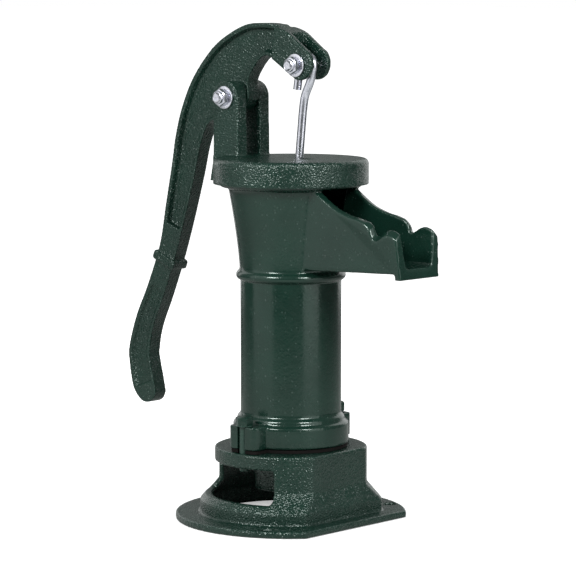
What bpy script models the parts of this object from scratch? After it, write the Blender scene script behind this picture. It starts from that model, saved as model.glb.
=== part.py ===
"""Hand well pump: a cast iron pitcher pump with a swivelling cap, a swan-neck lever, a hooked
piston rod, a plunger with a cup leather and a leather foot valve.

Units are metres and +Z is up. The spout points along +X, the lever hangs on the -X side, and
the whole pump is moved along X at the end so that the middle of its outline is at x = 0.
"""
import math

import bmesh
import bpy
from mathutils import Vector

# Fits
SEAT_GAP = 0.0003          # between faces that rest on each other
HOLE_CLEARANCE = 0.0003    # round a bolt or pin, on the radius
SLIDE_GAP = 0.0003         # between the cup leather and the bore
SWIVEL_GAP = 0.0006        # between the cap's skirt and the body's ring

# Base casting, a D in plan, open underneath, with a window on each side
FOOT_RADIUS = 0.0982
FOOT_FLAT = 0.0752
FOOT_THICKNESS = 0.0057
SKIRT_RADIUS = 0.0774
SKIRT_FLAT = 0.0610
SKIRT_TOP = 0.0160
FLARE_TOP = 0.0310
DECK_RIM = 0.0072          # iron outside the clamp bolts
DECK_FLAT_INSET = 0.0087
BASE_HEIGHT = 0.0618
DECK_THICKNESS = 0.0115
BASE_WALL = 0.0047
WINDOW_SILL = 0.0215
WINDOW_LIP = 0.0008
WINDOW_FROM = 60.0
WINDOW_TO = 154.0
HUB_RADIUS = 0.0310
HUB_BOTTOM = 0.0260
PORT_RADIUS = 0.0195       # suction pipe thread, 1 1/4 inch
MOUNT_SLOT_WIDTH = 0.0090
MOUNT_SLOT_LENGTH = 0.0120
MOUNT_SLOT_CENTRE = 0.0895
MOUNT_ANGLES = (60.5, 180.0, -60.5)

# Valve leather between base and body, and the flap that it carries
LEATHER_THICKNESS = 0.0026
LEATHER_INNER = 0.0344
FLAP_SEAT = 0.0075         # how far the flap overlaps the suction port
FLAP_TONGUE_WIDTH = 0.0140
FLAP_HINGE = 0.0332
WEIGHT_RADIUS = 0.0235
WEIGHT_HEIGHT = 0.0105
FLAP_SCREW_RADIUS = 0.0030

# Body casting: clamp flange, barrel, bead, reservoir, ring
BORE_RADIUS = 0.0381
BARREL_WALL = 0.0046
FLANGE_WIDTH = 0.0063
FLANGE_THICKNESS = 0.0187
LUG_BOLT_OFFSET = 0.0085   # clamp bolt outside the flange
LUG_END = 0.0042           # iron outside the clamp bolt's axis
LUG_HALF_WIDTH = 0.0160
LUG_CORNER = 0.0060
LUG_RAISE = 0.0008
BARREL_LENGTH = 0.1390     # flange bottom to bead
BEAD_HEIGHT = 0.0080
BEAD_RAISE = 0.0038
RESERVOIR_HEIGHT = 0.0685  # bead to the foot of the ring
RESERVOIR_FLARE = 0.0099
RING_OVERHANG = 0.0077
RING_SLOPE = 0.0030
RING_HEIGHT = 0.0105
RING_WIDTH = 0.0103

# Spout, an open trough with a hook notch behind its end rim
SPOUT_REACH = 0.1420
SPOUT_ROOT = 0.0300
SPOUT_ABOVE_BEAD = 0.0033
SPOUT_HALF_WIDTH = 0.0270
SPOUT_DRAFT = 0.0025
SPOUT_RIM = 0.0058
SPOUT_RIM_DROP = 0.0013
SPOUT_WALL = 0.0068
SPOUT_FLOOR = 0.0073
SPOUT_LEAN = 0.0025
SPOUT_CLIMB = 0.0035       # rise of the underside from the reservoir to the end rim
SHOULDER_HEIGHT = 0.0453
NOTCH_HEIGHT = 0.0335
LIP_HEIGHT = 0.0391

# Cap
CAP_HEIGHT = 0.0216
CAP_SKIRT_DEPTH = 0.0097
CAP_SKIRT_WALL = 0.0047
CAP_PLATE = 0.0060
CAP_SHOULDER = 0.0065      # width of the land on the body's ring
CAP_EDGE = 0.0040
EAR_THICKNESS = 0.0120
EAR_RADIUS = 0.0140
EAR_INSET = 0.0080         # fulcrum inside the cap's rim
PIVOT_RISE = 0.0498        # fulcrum above the cap's top
TAIL_REACH = 0.0184        # cap's tail behind the fulcrum
TAIL_TAPER = 0.0034

# Lever; its outline is given from the fulcrum in the XZ plane
LEVER_THICKNESS = 0.0140
LEVER_SIDE_GAP = 0.0010
POCKET_DEPTH = 0.0052
OUTER_RIM = 0.0050
INNER_RIM = 0.0044
FULCRUM_BOSS = 0.0125
ARM_X = 0.0751             # fulcrum to rod bolt
ARM_Z = 0.0284
CLEVIS_HALF_WIDTH = 0.0129
CLEVIS_GAP = 0.0164
CLEVIS_RADIUS = 0.0140
COLLAR_RAISE = 0.0020
LEVER_TRAVEL = 38.0

# Piston rod
ROD_RADIUS = 0.00355
HOOK_TAIL = 0.0205
ROD_EYE_DROP = 0.1945      # rod bolt down to the plunger pin
ROD_EYE_LEAD = 0.0026      # eye centre behind the plunger pin at rest
EYE_SLACK = 0.0036

# Plunger, measured from its pin
PLUNGER_PIN_RADIUS = 0.0030
CUP_WALL = 0.0030
CUP_HEIGHT = 0.0180
CUP_BOTTOM = 0.0307        # below the pin
CAGE_DISC = 0.0054
CAGE_NECK_RADIUS = 0.0140
CAGE_PORT_RADIUS = 0.0095
CAGE_GAP = 0.0280
CHEEK_THICKNESS = 0.0055
CHEEK_HALF_WIDTH = 0.0080
FOLLOWER_THICKNESS = 0.0050
FOLLOWER_RIM = 0.0070
POPPET_OVERLAP = 0.0035
POPPET_THICKNESS = 0.0040
POPPET_STEM_RADIUS = 0.0050

# Bolts, nuts and washers: M8 hardware
BOLT_RADIUS = 0.0040
HEX_ACROSS_FLATS = 0.0130
HEAD_HEIGHT = 0.0053
NUT_HEIGHT = 0.0056
NUT_COLLAR = 0.0022
NUT_COLLAR_RADIUS = 0.0054
BOLT_STICK_OUT = 0.0012
WASHER_RADIUS = 0.0097
WASHER_THICKNESS = 0.0016
CLAMP_HEAD_HEIGHT = 0.0080
SET_SCREW_RADIUS = 0.0030
SET_SCREW_HEAD = 0.0080
SET_SCREW_ANGLE = 125.0

# Facets
ROUND = 48
SMALL_ROUND = 20

# What follows from the sizes above
BARREL_RADIUS = BORE_RADIUS + BARREL_WALL
FLANGE_RADIUS = BARREL_RADIUS + FLANGE_WIDTH
CLAMP_RADIUS = FLANGE_RADIUS + LUG_BOLT_OFFSET
DECK_RADIUS = CLAMP_RADIUS + DECK_RIM
DECK_FLAT = DECK_RADIUS - DECK_FLAT_INSET
DECK_UNDERSIDE = BASE_HEIGHT - DECK_THICKNESS
BODY_BOTTOM = BASE_HEIGHT + LEATHER_THICKNESS + 2 * SEAT_GAP
FLANGE_TOP = BODY_BOTTOM + FLANGE_THICKNESS
LUG_TOP = FLANGE_TOP + LUG_RAISE
BEAD_BOTTOM = BODY_BOTTOM + BARREL_LENGTH
BEAD_TOP = BEAD_BOTTOM + BEAD_HEIGHT
RESERVOIR_RADIUS = BARREL_RADIUS + RESERVOIR_FLARE
RING_FOOT = BEAD_TOP + RESERVOIR_HEIGHT
RING_RADIUS = RESERVOIR_RADIUS + RING_OVERHANG
RING_BOTTOM = RING_FOOT + RING_SLOPE
BODY_TOP = RING_BOTTOM + RING_HEIGHT
SPOUT_Z = BEAD_TOP + SPOUT_ABOVE_BEAD
CAP_LAND = BODY_TOP + SEAT_GAP
CAP_BOTTOM = CAP_LAND - CAP_SKIRT_DEPTH
CAP_TOP = CAP_BOTTOM + CAP_HEIGHT
CAP_BORE = RING_RADIUS + SWIVEL_GAP
CAP_RADIUS = CAP_BORE + CAP_SKIRT_WALL
PIVOT_X = -(CAP_RADIUS - EAR_INSET)
PIVOT_Z = CAP_TOP + PIVOT_RISE
EAR_GAP = LEVER_THICKNESS + 2 * LEVER_SIDE_GAP
EAR_FACE = EAR_GAP / 2 + EAR_THICKNESS
PIN_X = PIVOT_X + ARM_X
PIN_Z = PIVOT_Z + ARM_Z
EYE_Z = PIN_Z - ROD_EYE_DROP
HOOK_RADIUS = BOLT_RADIUS + ROD_RADIUS + 0.0005
EYE_RADIUS = PLUNGER_PIN_RADIUS + EYE_SLACK + ROD_RADIUS
FLAP_RADIUS = PORT_RADIUS + FLAP_SEAT
FLAP_HINGE_HEIGHT = BASE_HEIGHT + SEAT_GAP + LEATHER_THICKNESS

# Stations up the lever, from the grip's end to the clevis: outer edge, inner edge
LEVER_STATIONS = (
    ((-0.1236, -0.2684), (-0.0999, -0.2646)),
    ((-0.1286, -0.2599), (-0.1030, -0.2506)),
    ((-0.1323, -0.2422), (-0.1060, -0.2387)),
    ((-0.1327, -0.2251), (-0.1074, -0.2277)),
    ((-0.1230, -0.1964), (-0.1026, -0.2064)),
    ((-0.1087, -0.1685), (-0.0893, -0.1775)),
    ((-0.0934, -0.1319), (-0.0737, -0.1397)),
    ((-0.0856, -0.0962), (-0.0615, -0.1046)),
    ((-0.0779, -0.0607), (-0.0506, -0.0699)),
    ((-0.0728, -0.0343), (-0.0422, -0.0403)),
    ((-0.0640, -0.0080), (-0.0309, -0.0221)),
    ((-0.0492, 0.0183), (-0.0044, -0.0143)),
    ((-0.0243, 0.0441), (0.0140, -0.0016)),
    ((0.0075, 0.0604), (0.0141, 0.0159)),
    ((0.0311, 0.0632), (0.0306, 0.0349)),
    ((0.0490, 0.0618), (0.0471, 0.0328)),
)
STATION_STEPS = 4
GRIP_POCKET = (1.0, 5.0)      # stations between which the grip's groove runs
ARM_POCKET = (6.6, 14.6)      # and the arm's
COLLAR_STATION = 5.75


def clear_scene():
    for obj in list(bpy.data.objects):
        bpy.data.objects.remove(obj, do_unlink=True)


def make_material(name, colour, roughness, metallic):
    material = bpy.data.materials.new(name)
    material.use_nodes = True
    shader = material.node_tree.nodes["Principled BSDF"]
    shader.inputs["Base Color"].default_value = (*colour, 1.0)
    shader.inputs["Roughness"].default_value = roughness
    shader.inputs["Metallic"].default_value = metallic
    return material


def make_object(name, bm, material, parent, place=(0, 0, 0)):
    bmesh.ops.remove_doubles(bm, verts=bm.verts, dist=1e-7)
    bmesh.ops.recalc_face_normals(bm, faces=bm.faces)
    mesh = bpy.data.meshes.new(name)
    bm.to_mesh(mesh)
    bm.free()
    mesh.shade_smooth()
    mesh.set_sharp_from_angle(angle=math.radians(35))
    mesh.materials.append(material)
    obj = bpy.data.objects.new(name, mesh)
    bpy.context.collection.objects.link(obj)
    obj.parent = parent
    obj.location = Vector(place) - origin_of(parent)
    return obj


def make_empty(name, parent, place):
    empty = bpy.data.objects.new(name, None)
    bpy.context.collection.objects.link(empty)
    empty.parent = parent
    empty.location = Vector(place) - origin_of(parent)
    return empty


def origin_of(obj):
    """Sum of the locations up the parents: nothing here is turned."""
    place = Vector((0, 0, 0))
    while obj is not None:
        place += obj.location
        obj = obj.parent
    return place


def guide(name, bm, parent, place=(0, 0, 0)):
    """A cutter or an added lump, which isn't a part of its own."""
    obj = make_object(name, bm, guide_material, parent, place)
    obj.hide_render = True
    obj.display_type = "WIRE"
    return obj


def combine(target, tool, operation):
    modifier = target.modifiers.new(tool.name, "BOOLEAN")
    modifier.operation = operation
    modifier.solver = "EXACT"
    modifier.object = tool


def arc(centre, radius, start, end, count):
    """Points on a circle from one angle to another, in degrees, ends included."""
    points = []
    for step in range(count + 1):
        angle = math.radians(start + (end - start) * step / count)
        points.append((centre[0] + radius * math.cos(angle), centre[1] + radius * math.sin(angle)))
    return points


def smooth(points, steps):
    """A Catmull-Rom curve through the points."""
    ends = [points[0], *points, points[-1]]
    curve = []
    for index in range(len(points) - 1):
        a, b, c, d = (Vector(p) for p in ends[index:index + 4])
        for step in range(steps):
            t = step / steps
            curve.append(tuple(0.5 * (2 * b + (c - a) * t + (2 * a - 5 * b + 4 * c - d) * t ** 2
                                      + (3 * b - a - 3 * c + d) * t ** 3)))
    curve.append(tuple(points[-1]))
    return curve


def turned(profile, facets=ROUND, closed=False):
    """A turned shape from (radius, height) points; an open profile starts and ends on the axis."""
    bm = bmesh.new()
    verts = [bm.verts.new((radius, 0, height)) for radius, height in profile]
    edges = [bm.edges.new(pair) for pair in zip(verts, verts[1:])]
    if closed:
        edges.append(bm.edges.new((verts[-1], verts[0])))
    bmesh.ops.spin(bm, geom=verts + edges, cent=(0, 0, 0), axis=(0, 0, 1),
                   angle=2 * math.pi, steps=facets)
    bmesh.ops.remove_doubles(bm, verts=bm.verts, dist=1e-6)
    return bm


def prism(outline, low, high, along="Y"):
    """An outline pushed from low to high: (x, z) points along Y, (x, y) along Z, (y, z) along X."""
    order = {"Y": (0, 2, 1), "Z": (0, 1, 2), "X": (1, 2, 0)}[along]
    bm = bmesh.new()
    verts = []
    for a, b in outline:
        place = [0.0, 0.0, 0.0]
        place[order[0]] = a
        place[order[1]] = b
        place[order[2]] = low
        verts.append(bm.verts.new(place))
    face = bm.faces.new(verts)
    moved = bmesh.ops.extrude_face_region(bm, geom=[face])["geom"]
    push = [0.0, 0.0, 0.0]
    push[order[2]] = high - low
    bmesh.ops.translate(bm, vec=push, verts=[v for v in moved if isinstance(v, bmesh.types.BMVert)])
    return bm


def circle(radius, count, turn=0.0):
    return [(radius * math.cos(turn + 2 * math.pi * i / count),
             radius * math.sin(turn + 2 * math.pi * i / count)) for i in range(count)]


def rod_along(axis, radius, low, high, facets=SMALL_ROUND):
    """A cylinder about X, Y or Z through its own origin."""
    return prism(circle(radius, facets), low, high, axis)


def loft(rings):
    """Closed rings with equal point counts, skinned in order and capped at both ends."""
    bm = bmesh.new()
    rows = [[bm.verts.new(point) for point in ring] for ring in rings]
    for low, high in zip(rows, rows[1:]):
        for i in range(len(low)):
            j = (i + 1) % len(low)
            bm.faces.new((low[i], low[j], high[j], high[i]))
    bmesh.ops.triangulate(bm, faces=bm.faces[:])
    bm.faces.new(rows[0])
    bm.faces.new(rows[-1])
    return bm


def d_ring(radius, flat, height, count=ROUND):
    """A circle whose +X side is cut flat."""
    start = math.degrees(math.acos(flat / radius))
    return [(x, y, height) for x, y in arc((0, 0), radius, start, 360 - start, count)]


def add_box(bm, low, high):
    made = bmesh.ops.create_cube(bm, size=1.0)["verts"]
    size = [b - a for a, b in zip(low, high)]
    middle = [(a + b) / 2 for a, b in zip(low, high)]
    bmesh.ops.scale(bm, vec=size, verts=made)
    bmesh.ops.translate(bm, vec=middle, verts=made)


# Base, valve leather, flap


def make_base(parent):
    outer = loft([d_ring(FOOT_RADIUS, FOOT_FLAT, 0.0), d_ring(FOOT_RADIUS, FOOT_FLAT, FOOT_THICKNESS),
                  d_ring(SKIRT_RADIUS, SKIRT_FLAT, FOOT_THICKNESS),
                  d_ring(SKIRT_RADIUS, SKIRT_FLAT, SKIRT_TOP), d_ring(DECK_RADIUS, DECK_FLAT, FLARE_TOP),
                  d_ring(DECK_RADIUS, DECK_FLAT, BASE_HEIGHT)])
    base = make_object("base", outer, casting_rough, parent)

    wide = (SKIRT_RADIUS - BASE_WALL, SKIRT_FLAT - BASE_WALL)
    narrow = (DECK_RADIUS - BASE_WALL, DECK_FLAT - BASE_WALL)
    hollow = guide("base_hollow", loft([
        d_ring(*wide, -0.01), d_ring(*wide, SKIRT_TOP - BASE_WALL / 2),
        d_ring(*narrow, FLARE_TOP - BASE_WALL / 2), d_ring(*narrow, DECK_UNDERSIDE)]), parent)
    core = rod_along("Z", HUB_RADIUS, HUB_BOTTOM, BASE_HEIGHT, ROUND)
    combine(hollow, guide("hub_core", core, parent), "DIFFERENCE")
    combine(base, hollow, "DIFFERENCE")

    reach = 0.03
    for side in (1, -1):
        inner = arc((0, 0), DECK_RADIUS - reach / 2, side * WINDOW_FROM, side * WINDOW_TO, 16)
        outer_arc = arc((0, 0), FOOT_RADIUS, side * WINDOW_TO, side * WINDOW_FROM, 16)
        window = prism(inner + outer_arc, WINDOW_SILL, DECK_UNDERSIDE - WINDOW_LIP, "Z")
        combine(base, guide(f"base_window_{side}", window, parent), "DIFFERENCE")

    cuts = [("port", rod_along("Z", PORT_RADIUS, -0.01, BASE_HEIGHT + 0.01, ROUND), (0, 0, 0))]
    for side in (1, -1):
        hole = rod_along("Z", BOLT_RADIUS + HOLE_CLEARANCE, DECK_UNDERSIDE - 0.01, BASE_HEIGHT + 0.01)
        cuts.append((f"clamp_hole_{side}", hole, (0, side * CLAMP_RADIUS, 0)))
    for name, bm, place in cuts:
        combine(base, guide(name, bm, parent, place), "DIFFERENCE")
    for index, angle in enumerate(MOUNT_ANGLES):
        combine(base, mount_slot(index, angle, parent), "DIFFERENCE")
    return base


def mount_slot(index, angle, parent):
    """A bolt slot through the foot plate, long along the radius."""
    half = (MOUNT_SLOT_LENGTH - MOUNT_SLOT_WIDTH) / 2
    radius = MOUNT_SLOT_WIDTH / 2
    outline = arc((half, 0), radius, -90, 90, 7) + arc((-half, 0), radius, 90, 270, 7)
    slot = guide(f"mount_slot_{index}", prism(outline, -0.01, FOOT_THICKNESS + 0.004, "Z"), parent)
    turn = math.radians(angle)
    slot.location = (MOUNT_SLOT_CENTRE * math.cos(turn), MOUNT_SLOT_CENTRE * math.sin(turn), 0)
    slot.rotation_euler = (0, 0, turn)
    return slot


def lug_outline(clearance=0.0):
    """The flange and its two lugs in plan, as one loop."""
    end = CLAMP_RADIUS + LUG_END - clearance
    half = LUG_HALF_WIDTH - clearance
    corner = LUG_CORNER
    rim = FLANGE_RADIUS - clearance
    lean = math.degrees(math.asin(half / rim))
    points = []
    for turn in (90, -90):
        start = turn - 180 + lean
        points += arc((0, 0), rim, start, turn - lean, 16)
        lug = arc((half - corner, end - corner), corner, 0, 90, 3)
        lug += arc((-half + corner, end - corner), corner, 90, 180, 3)
        sign = 1 if turn == 90 else -1
        points += [(sign * x, sign * y) for x, y in lug]
    return points


def make_valve_leather(parent):
    """The leather ring that seals body to base; its lugs are slit for the clamp bolts."""
    low = BASE_HEIGHT + SEAT_GAP
    high = low + LEATHER_THICKNESS
    leather = make_object("valve_leather", prism(lug_outline(0.0008), low, high, "Z"), leather_brown, parent)
    hole = rod_along("Z", LEATHER_INNER, low - 0.01, high + 0.01, ROUND)
    combine(leather, guide("leather_hole", hole, parent), "DIFFERENCE")
    for side in (1, -1):
        combine(leather, lug_slot(f"leather_slot_{side}", side, low - 0.01, high + 0.01, parent),
                "DIFFERENCE")
    return leather


def lug_slot(name, side, low, high, parent):
    """An open-ended slot that lets a clamp bolt swing out of a lug."""
    radius = BOLT_RADIUS + HOLE_CLEARANCE
    out = CLAMP_RADIUS + LUG_END + 0.01
    outline = arc((0, CLAMP_RADIUS), radius, 180, 360, 8) + [(radius, out), (-radius, out)]
    if side < 0:
        outline = [(-x, -y) for x, y in outline]
    return guide(name, prism(outline, low, high, "Z"), parent)


def make_foot_valve(hinge):
    """Leather flap over the suction port, with its iron weight and screw."""
    low = BASE_HEIGHT + SEAT_GAP
    high = low + LEATHER_THICKNESS
    place = (-FLAP_HINGE, 0, high)
    half = FLAP_TONGUE_WIDTH / 2
    meet = math.degrees(math.asin(half / FLAP_RADIUS))
    outline = arc((0, 0), FLAP_RADIUS, -180 + meet, 180 - meet, 30) + [(-FLAP_HINGE, half), (-FLAP_HINGE, -half)]
    flap = make_object("valve_flap", hinged(prism(outline, low, high, "Z")), leather_brown, hinge, place)
    hole = rod_along("Z", FLAP_SCREW_RADIUS + HOLE_CLEARANCE, low - 0.01, high + 0.01)
    combine(flap, guide("flap_hole", hinged(hole), hinge, place), "DIFFERENCE")
    seat = high + SEAT_GAP
    top = seat + WEIGHT_HEIGHT
    bore = FLAP_SCREW_RADIUS + HOLE_CLEARANCE
    edge = 0.0015
    profile = [(bore, top), (WEIGHT_RADIUS - edge, top), (WEIGHT_RADIUS, top - edge), (WEIGHT_RADIUS, seat),
               (bore, seat)]
    make_object("flap_weight", hinged(turned(profile, 32, True)), bare_iron, hinge, place)
    nip = top + SEAT_GAP
    screw = [(0, nip + 0.0030), (0.0055, nip + 0.0024), (0.0062, nip + 0.0012), (0.0062, nip),
             (FLAP_SCREW_RADIUS, nip), (FLAP_SCREW_RADIUS, low - 0.0040), (0, low - 0.0040)]
    make_object("flap_screw", hinged(turned(screw, SMALL_ROUND)), brass, hinge, place)
    ring_top = low - SEAT_GAP
    under = [(FLAP_SCREW_RADIUS + HOLE_CLEARANCE, ring_top), (0.0120, ring_top), (0.0120, ring_top - 0.0020),
             (FLAP_SCREW_RADIUS + HOLE_CLEARANCE, ring_top - 0.0020)]
    make_object("flap_washer", hinged(turned(under, 24, True)), brass, hinge, place)


def hinged(bm):
    """Moves a shape made about the barrel's axis so that its origin is on the flap's hinge."""
    bmesh.ops.translate(bm, vec=(FLAP_HINGE, 0, -FLAP_HINGE_HEIGHT), verts=bm.verts)
    return bm


# Body


def body_profile():
    """Outside of flange, barrel, bead, reservoir and ring, bottom to top."""
    fillet = 0.0045
    profile = [(0, BODY_BOTTOM), (FLANGE_RADIUS, BODY_BOTTOM), (FLANGE_RADIUS, FLANGE_TOP),
               (BARREL_RADIUS + 0.0026, FLANGE_TOP + 0.0006),
               (BARREL_RADIUS + 0.0022, FLANGE_TOP + fillet), (BARREL_RADIUS, FLANGE_TOP + fillet + 0.0022),
               (BARREL_RADIUS, BEAD_BOTTOM - 0.0008)]
    middle = (BEAD_BOTTOM + BEAD_TOP) / 2
    for step in range(7):
        angle = math.radians(-90 + 180 * step / 6)
        profile.append((BARREL_RADIUS + BEAD_RAISE * math.cos(angle),
                        middle + BEAD_HEIGHT / 2 * math.sin(angle)))
    for step in range(1, 9):
        rise = step / 8
        profile.append((BARREL_RADIUS + 0.0006 + (RESERVOIR_FLARE - 0.0006) * rise ** 1.35,
                        BEAD_TOP + RESERVOIR_HEIGHT * rise))
    profile += [(RING_RADIUS - 0.0024, RING_FOOT + 0.6 * RING_SLOPE), (RING_RADIUS, RING_BOTTOM),
                (RING_RADIUS, BODY_TOP), (0, BODY_TOP)]
    return profile[::-1]


def inside_profile():
    """Bore, reservoir and mouth, top to bottom."""
    mouth = RING_RADIUS - RING_WIDTH
    inner = RESERVOIR_RADIUS - BARREL_WALL
    points = [(0, BODY_TOP + 0.01), (mouth, BODY_TOP + 0.01), (mouth, RING_BOTTOM), (inner, RING_FOOT)]
    for step in range(6, 0, -1):
        rise = step / 7
        points.append((BORE_RADIUS + (inner - BORE_RADIUS) * rise ** 1.35, BEAD_TOP + RESERVOIR_HEIGHT * rise))
    return points + [(BORE_RADIUS, BEAD_TOP), (BORE_RADIUS, BODY_BOTTOM - 0.01), (0, BODY_BOTTOM - 0.01)]


def spout_outline():
    """Side view of the spout: sweeping top edge, hook notch, lip, leaning end face."""
    root_top = RING_BOTTOM
    sweep = smooth([(0.0500, root_top), (0.0574, SPOUT_Z + 0.0632), (0.0734, SPOUT_Z + 0.0536),
                    (0.0900, SPOUT_Z + 0.0482), (0.1022, SPOUT_Z + SHOULDER_HEIGHT)], 4)
    end = SPOUT_REACH - SPOUT_LEAN
    rim = SPOUT_REACH - SPOUT_RIM
    notch = smooth([(0.1022, SPOUT_Z + SHOULDER_HEIGHT), (0.1075, SPOUT_Z + 0.0441),
                    (0.1112, SPOUT_Z + 0.0408), (0.1132, SPOUT_Z + 0.0360),
                    (0.1160, SPOUT_Z + NOTCH_HEIGHT), (0.1200, SPOUT_Z + 0.0352),
                    (0.1245, SPOUT_Z + 0.0378), (0.1295, SPOUT_Z + LIP_HEIGHT),
                    (end - 0.0055, SPOUT_Z + 0.0385), (end - 0.0012, SPOUT_Z + 0.0362),
                    (end, SPOUT_Z + 0.0320)], 3)
    bottom = SPOUT_Z - SPOUT_RIM_DROP
    return ([(SPOUT_ROOT, root_top)] + sweep + notch[1:]
            + [(SPOUT_REACH, bottom), (rim, bottom), (rim - 0.0004, SPOUT_Z + SPOUT_CLIMB), (SPOUT_ROOT, SPOUT_Z)])


def make_body(parent):
    body = make_object("pump_body", turned(body_profile()), casting_smooth, parent)

    lugs = prism(lug_outline(), BODY_BOTTOM, LUG_TOP, "Z")
    ring = rod_along("Z", BARREL_RADIUS + 0.0030, BODY_BOTTOM - 0.01, LUG_TOP + 0.01, ROUND)
    lug_guide = guide("lugs", lugs, parent)
    combine(lug_guide, guide("lug_middle", ring, parent), "DIFFERENCE")
    keep = bmesh.new()
    add_box(keep, (-LUG_HALF_WIDTH - 0.0005, -0.1, BODY_BOTTOM - 0.02),
            (LUG_HALF_WIDTH + 0.0005, 0.1, LUG_TOP + 0.02))
    combine(lug_guide, guide("lug_band", keep, parent), "INTERSECT")
    combine(body, lug_guide, "UNION")

    spout = prism(spout_outline(), -SPOUT_HALF_WIDTH, SPOUT_HALF_WIDTH, "Y")
    taper_sides(spout, SPOUT_Z - SPOUT_RIM_DROP, SPOUT_Z + NOTCH_HEIGHT, SPOUT_DRAFT)
    combine(body, guide("spout_block", spout, parent), "UNION")

    combine(body, guide("body_inside", turned(inside_profile()), parent), "DIFFERENCE")

    top = RING_BOTTOM - 0.0008
    half = SPOUT_HALF_WIDTH - SPOUT_WALL
    low = half - SPOUT_DRAFT - 0.0010
    floor = SPOUT_Z + SPOUT_FLOOR
    corner = 0.0050
    bottom = arc((low - corner, floor + corner), corner, 0, -90, 4)
    section = [(half, top), (half, SPOUT_Z + NOTCH_HEIGHT)] + bottom
    section += [(-y, z) for y, z in reversed(section)]
    trough = prism(section, SPOUT_ROOT - 0.01, SPOUT_REACH + 0.01, "X")
    combine(body, guide("spout_trough", trough, parent), "DIFFERENCE")
    for side in (1, -1):
        combine(body, lug_slot(f"lug_slot_{side}", side, BODY_BOTTOM - 0.01, LUG_TOP + 0.01, parent),
                "DIFFERENCE")
    return body


def taper_sides(bm, low, high, draft):
    """Draws the sides of a casting in towards its bottom."""
    for vert in bm.verts:
        share = min(max((high - vert.co.z) / (high - low), 0.0), 1.0)
        vert.co.y -= math.copysign(draft * share, vert.co.y)


# Cap


def make_cap(cap_axis):
    edge = CAP_EDGE
    rim = [(CAP_RADIUS - edge + edge * math.cos(math.radians(a)),
            CAP_TOP - edge + edge * math.sin(math.radians(a))) for a in (90, 60, 30, 0)]
    cavity = CAP_BORE - CAP_SHOULDER
    profile = [(0, CAP_TOP)] + rim + [(CAP_RADIUS, CAP_BOTTOM), (CAP_BORE, CAP_BOTTOM), (CAP_BORE, CAP_LAND),
                                      (cavity, CAP_LAND), (cavity, CAP_TOP - CAP_PLATE), (0, CAP_TOP - CAP_PLATE)]
    cap = make_object("cap", turned(profile), casting_rough, cap_axis)

    back = PIVOT_X - TAIL_REACH
    tail = prism([(back, CAP_BOTTOM), (PIVOT_X + 0.002, CAP_BOTTOM), (PIVOT_X + 0.002, CAP_TOP - 0.001),
                  (back + TAIL_TAPER, CAP_TOP - 0.001), (back + TAIL_TAPER, CAP_TOP - 0.005)],
                 -EAR_FACE, EAR_FACE)
    tail_guide = guide("cap_tail", tail, cap_axis)
    mouth = rod_along("Z", CAP_BORE, CAP_BOTTOM - 0.01, CAP_LAND, ROUND)
    combine(tail_guide, guide("tail_mouth", mouth, cap_axis), "DIFFERENCE")
    core = rod_along("Z", cavity, CAP_BOTTOM - 0.01, CAP_TOP - CAP_PLATE, ROUND)
    combine(tail_guide, guide("tail_core", core, cap_axis), "DIFFERENCE")
    combine(cap, tail_guide, "UNION")

    foot = CAP_TOP - 0.003
    outline = arc((PIVOT_X, PIVOT_Z), EAR_RADIUS, 0, 180, 14)
    outline += [(PIVOT_X - EAR_RADIUS, foot), (PIVOT_X + EAR_RADIUS, foot)]
    for side in (1, -1):
        low, high = sorted((side * EAR_GAP / 2, side * EAR_FACE))
        combine(cap, guide(f"cap_ear_{side}", prism(outline, low, high), cap_axis), "UNION")
    hole = rod_along("Y", BOLT_RADIUS + HOLE_CLEARANCE, -EAR_FACE - 0.01, EAR_FACE + 0.01)
    combine(cap, guide("fulcrum_hole", hole, cap_axis, (PIVOT_X, 0, PIVOT_Z)), "DIFFERENCE")

    low, high = rod_slot_ends()
    half = ROD_RADIUS + 0.0009
    outline = arc((high - half, 0), half, -90, 90, 8) + arc((low + half, 0), half, 90, 270, 8)
    slot = prism(outline, CAP_TOP - CAP_PLATE - 0.01, CAP_TOP + 0.01, "Z")
    combine(cap, guide("rod_slot", slot, cap_axis), "DIFFERENCE")

    screw_hole = rod_along("X", SET_SCREW_RADIUS + HOLE_CLEARANCE, CAP_BORE - 0.004, CAP_RADIUS + 0.004)
    cut = guide("screw_hole", screw_hole, cap_axis, (0, 0, set_screw_height()))
    cut.rotation_euler = (0, 0, math.radians(SET_SCREW_ANGLE))
    combine(cap, cut, "DIFFERENCE")
    return cap


def set_screw_height():
    return CAP_BOTTOM + CAP_SKIRT_DEPTH / 2


def make_set_screw(cap_axis):
    """Square-headed screw that grips the body's ring through the cap's skirt."""
    tip = RING_RADIUS + SEAT_GAP
    seat = CAP_RADIUS + 0.0015
    profile = [(0, tip), (SET_SCREW_RADIUS - 0.0008, tip), (SET_SCREW_RADIUS, tip + 0.0008),
               (SET_SCREW_RADIUS, seat + 0.001), (0, seat + 0.001)]
    shank = turned(profile, SMALL_ROUND)
    screw = make_object("cap_set_screw", shank, zinc, cap_axis, (0, 0, set_screw_height()))
    half = SET_SCREW_HEAD / 2
    head = bmesh.new()
    add_box(head, (-half, -half, seat), (half, half, seat + 0.006))
    bevelled = guide("set_screw_head", head, cap_axis, (0, 0, set_screw_height()))
    bevel = bevelled.modifiers.new("soft", "BEVEL")
    bevel.width = 0.0006
    bevel.segments = 1
    for obj in (screw, bevelled):
        obj.rotation_euler = (0, math.radians(90), math.radians(SET_SCREW_ANGLE))
    combine(screw, bevelled, "UNION")
    return screw


# Fasteners across the pump, along Y


def hexagon(across_flats):
    return circle(across_flats / math.sqrt(3), 6, math.radians(30))


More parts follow.
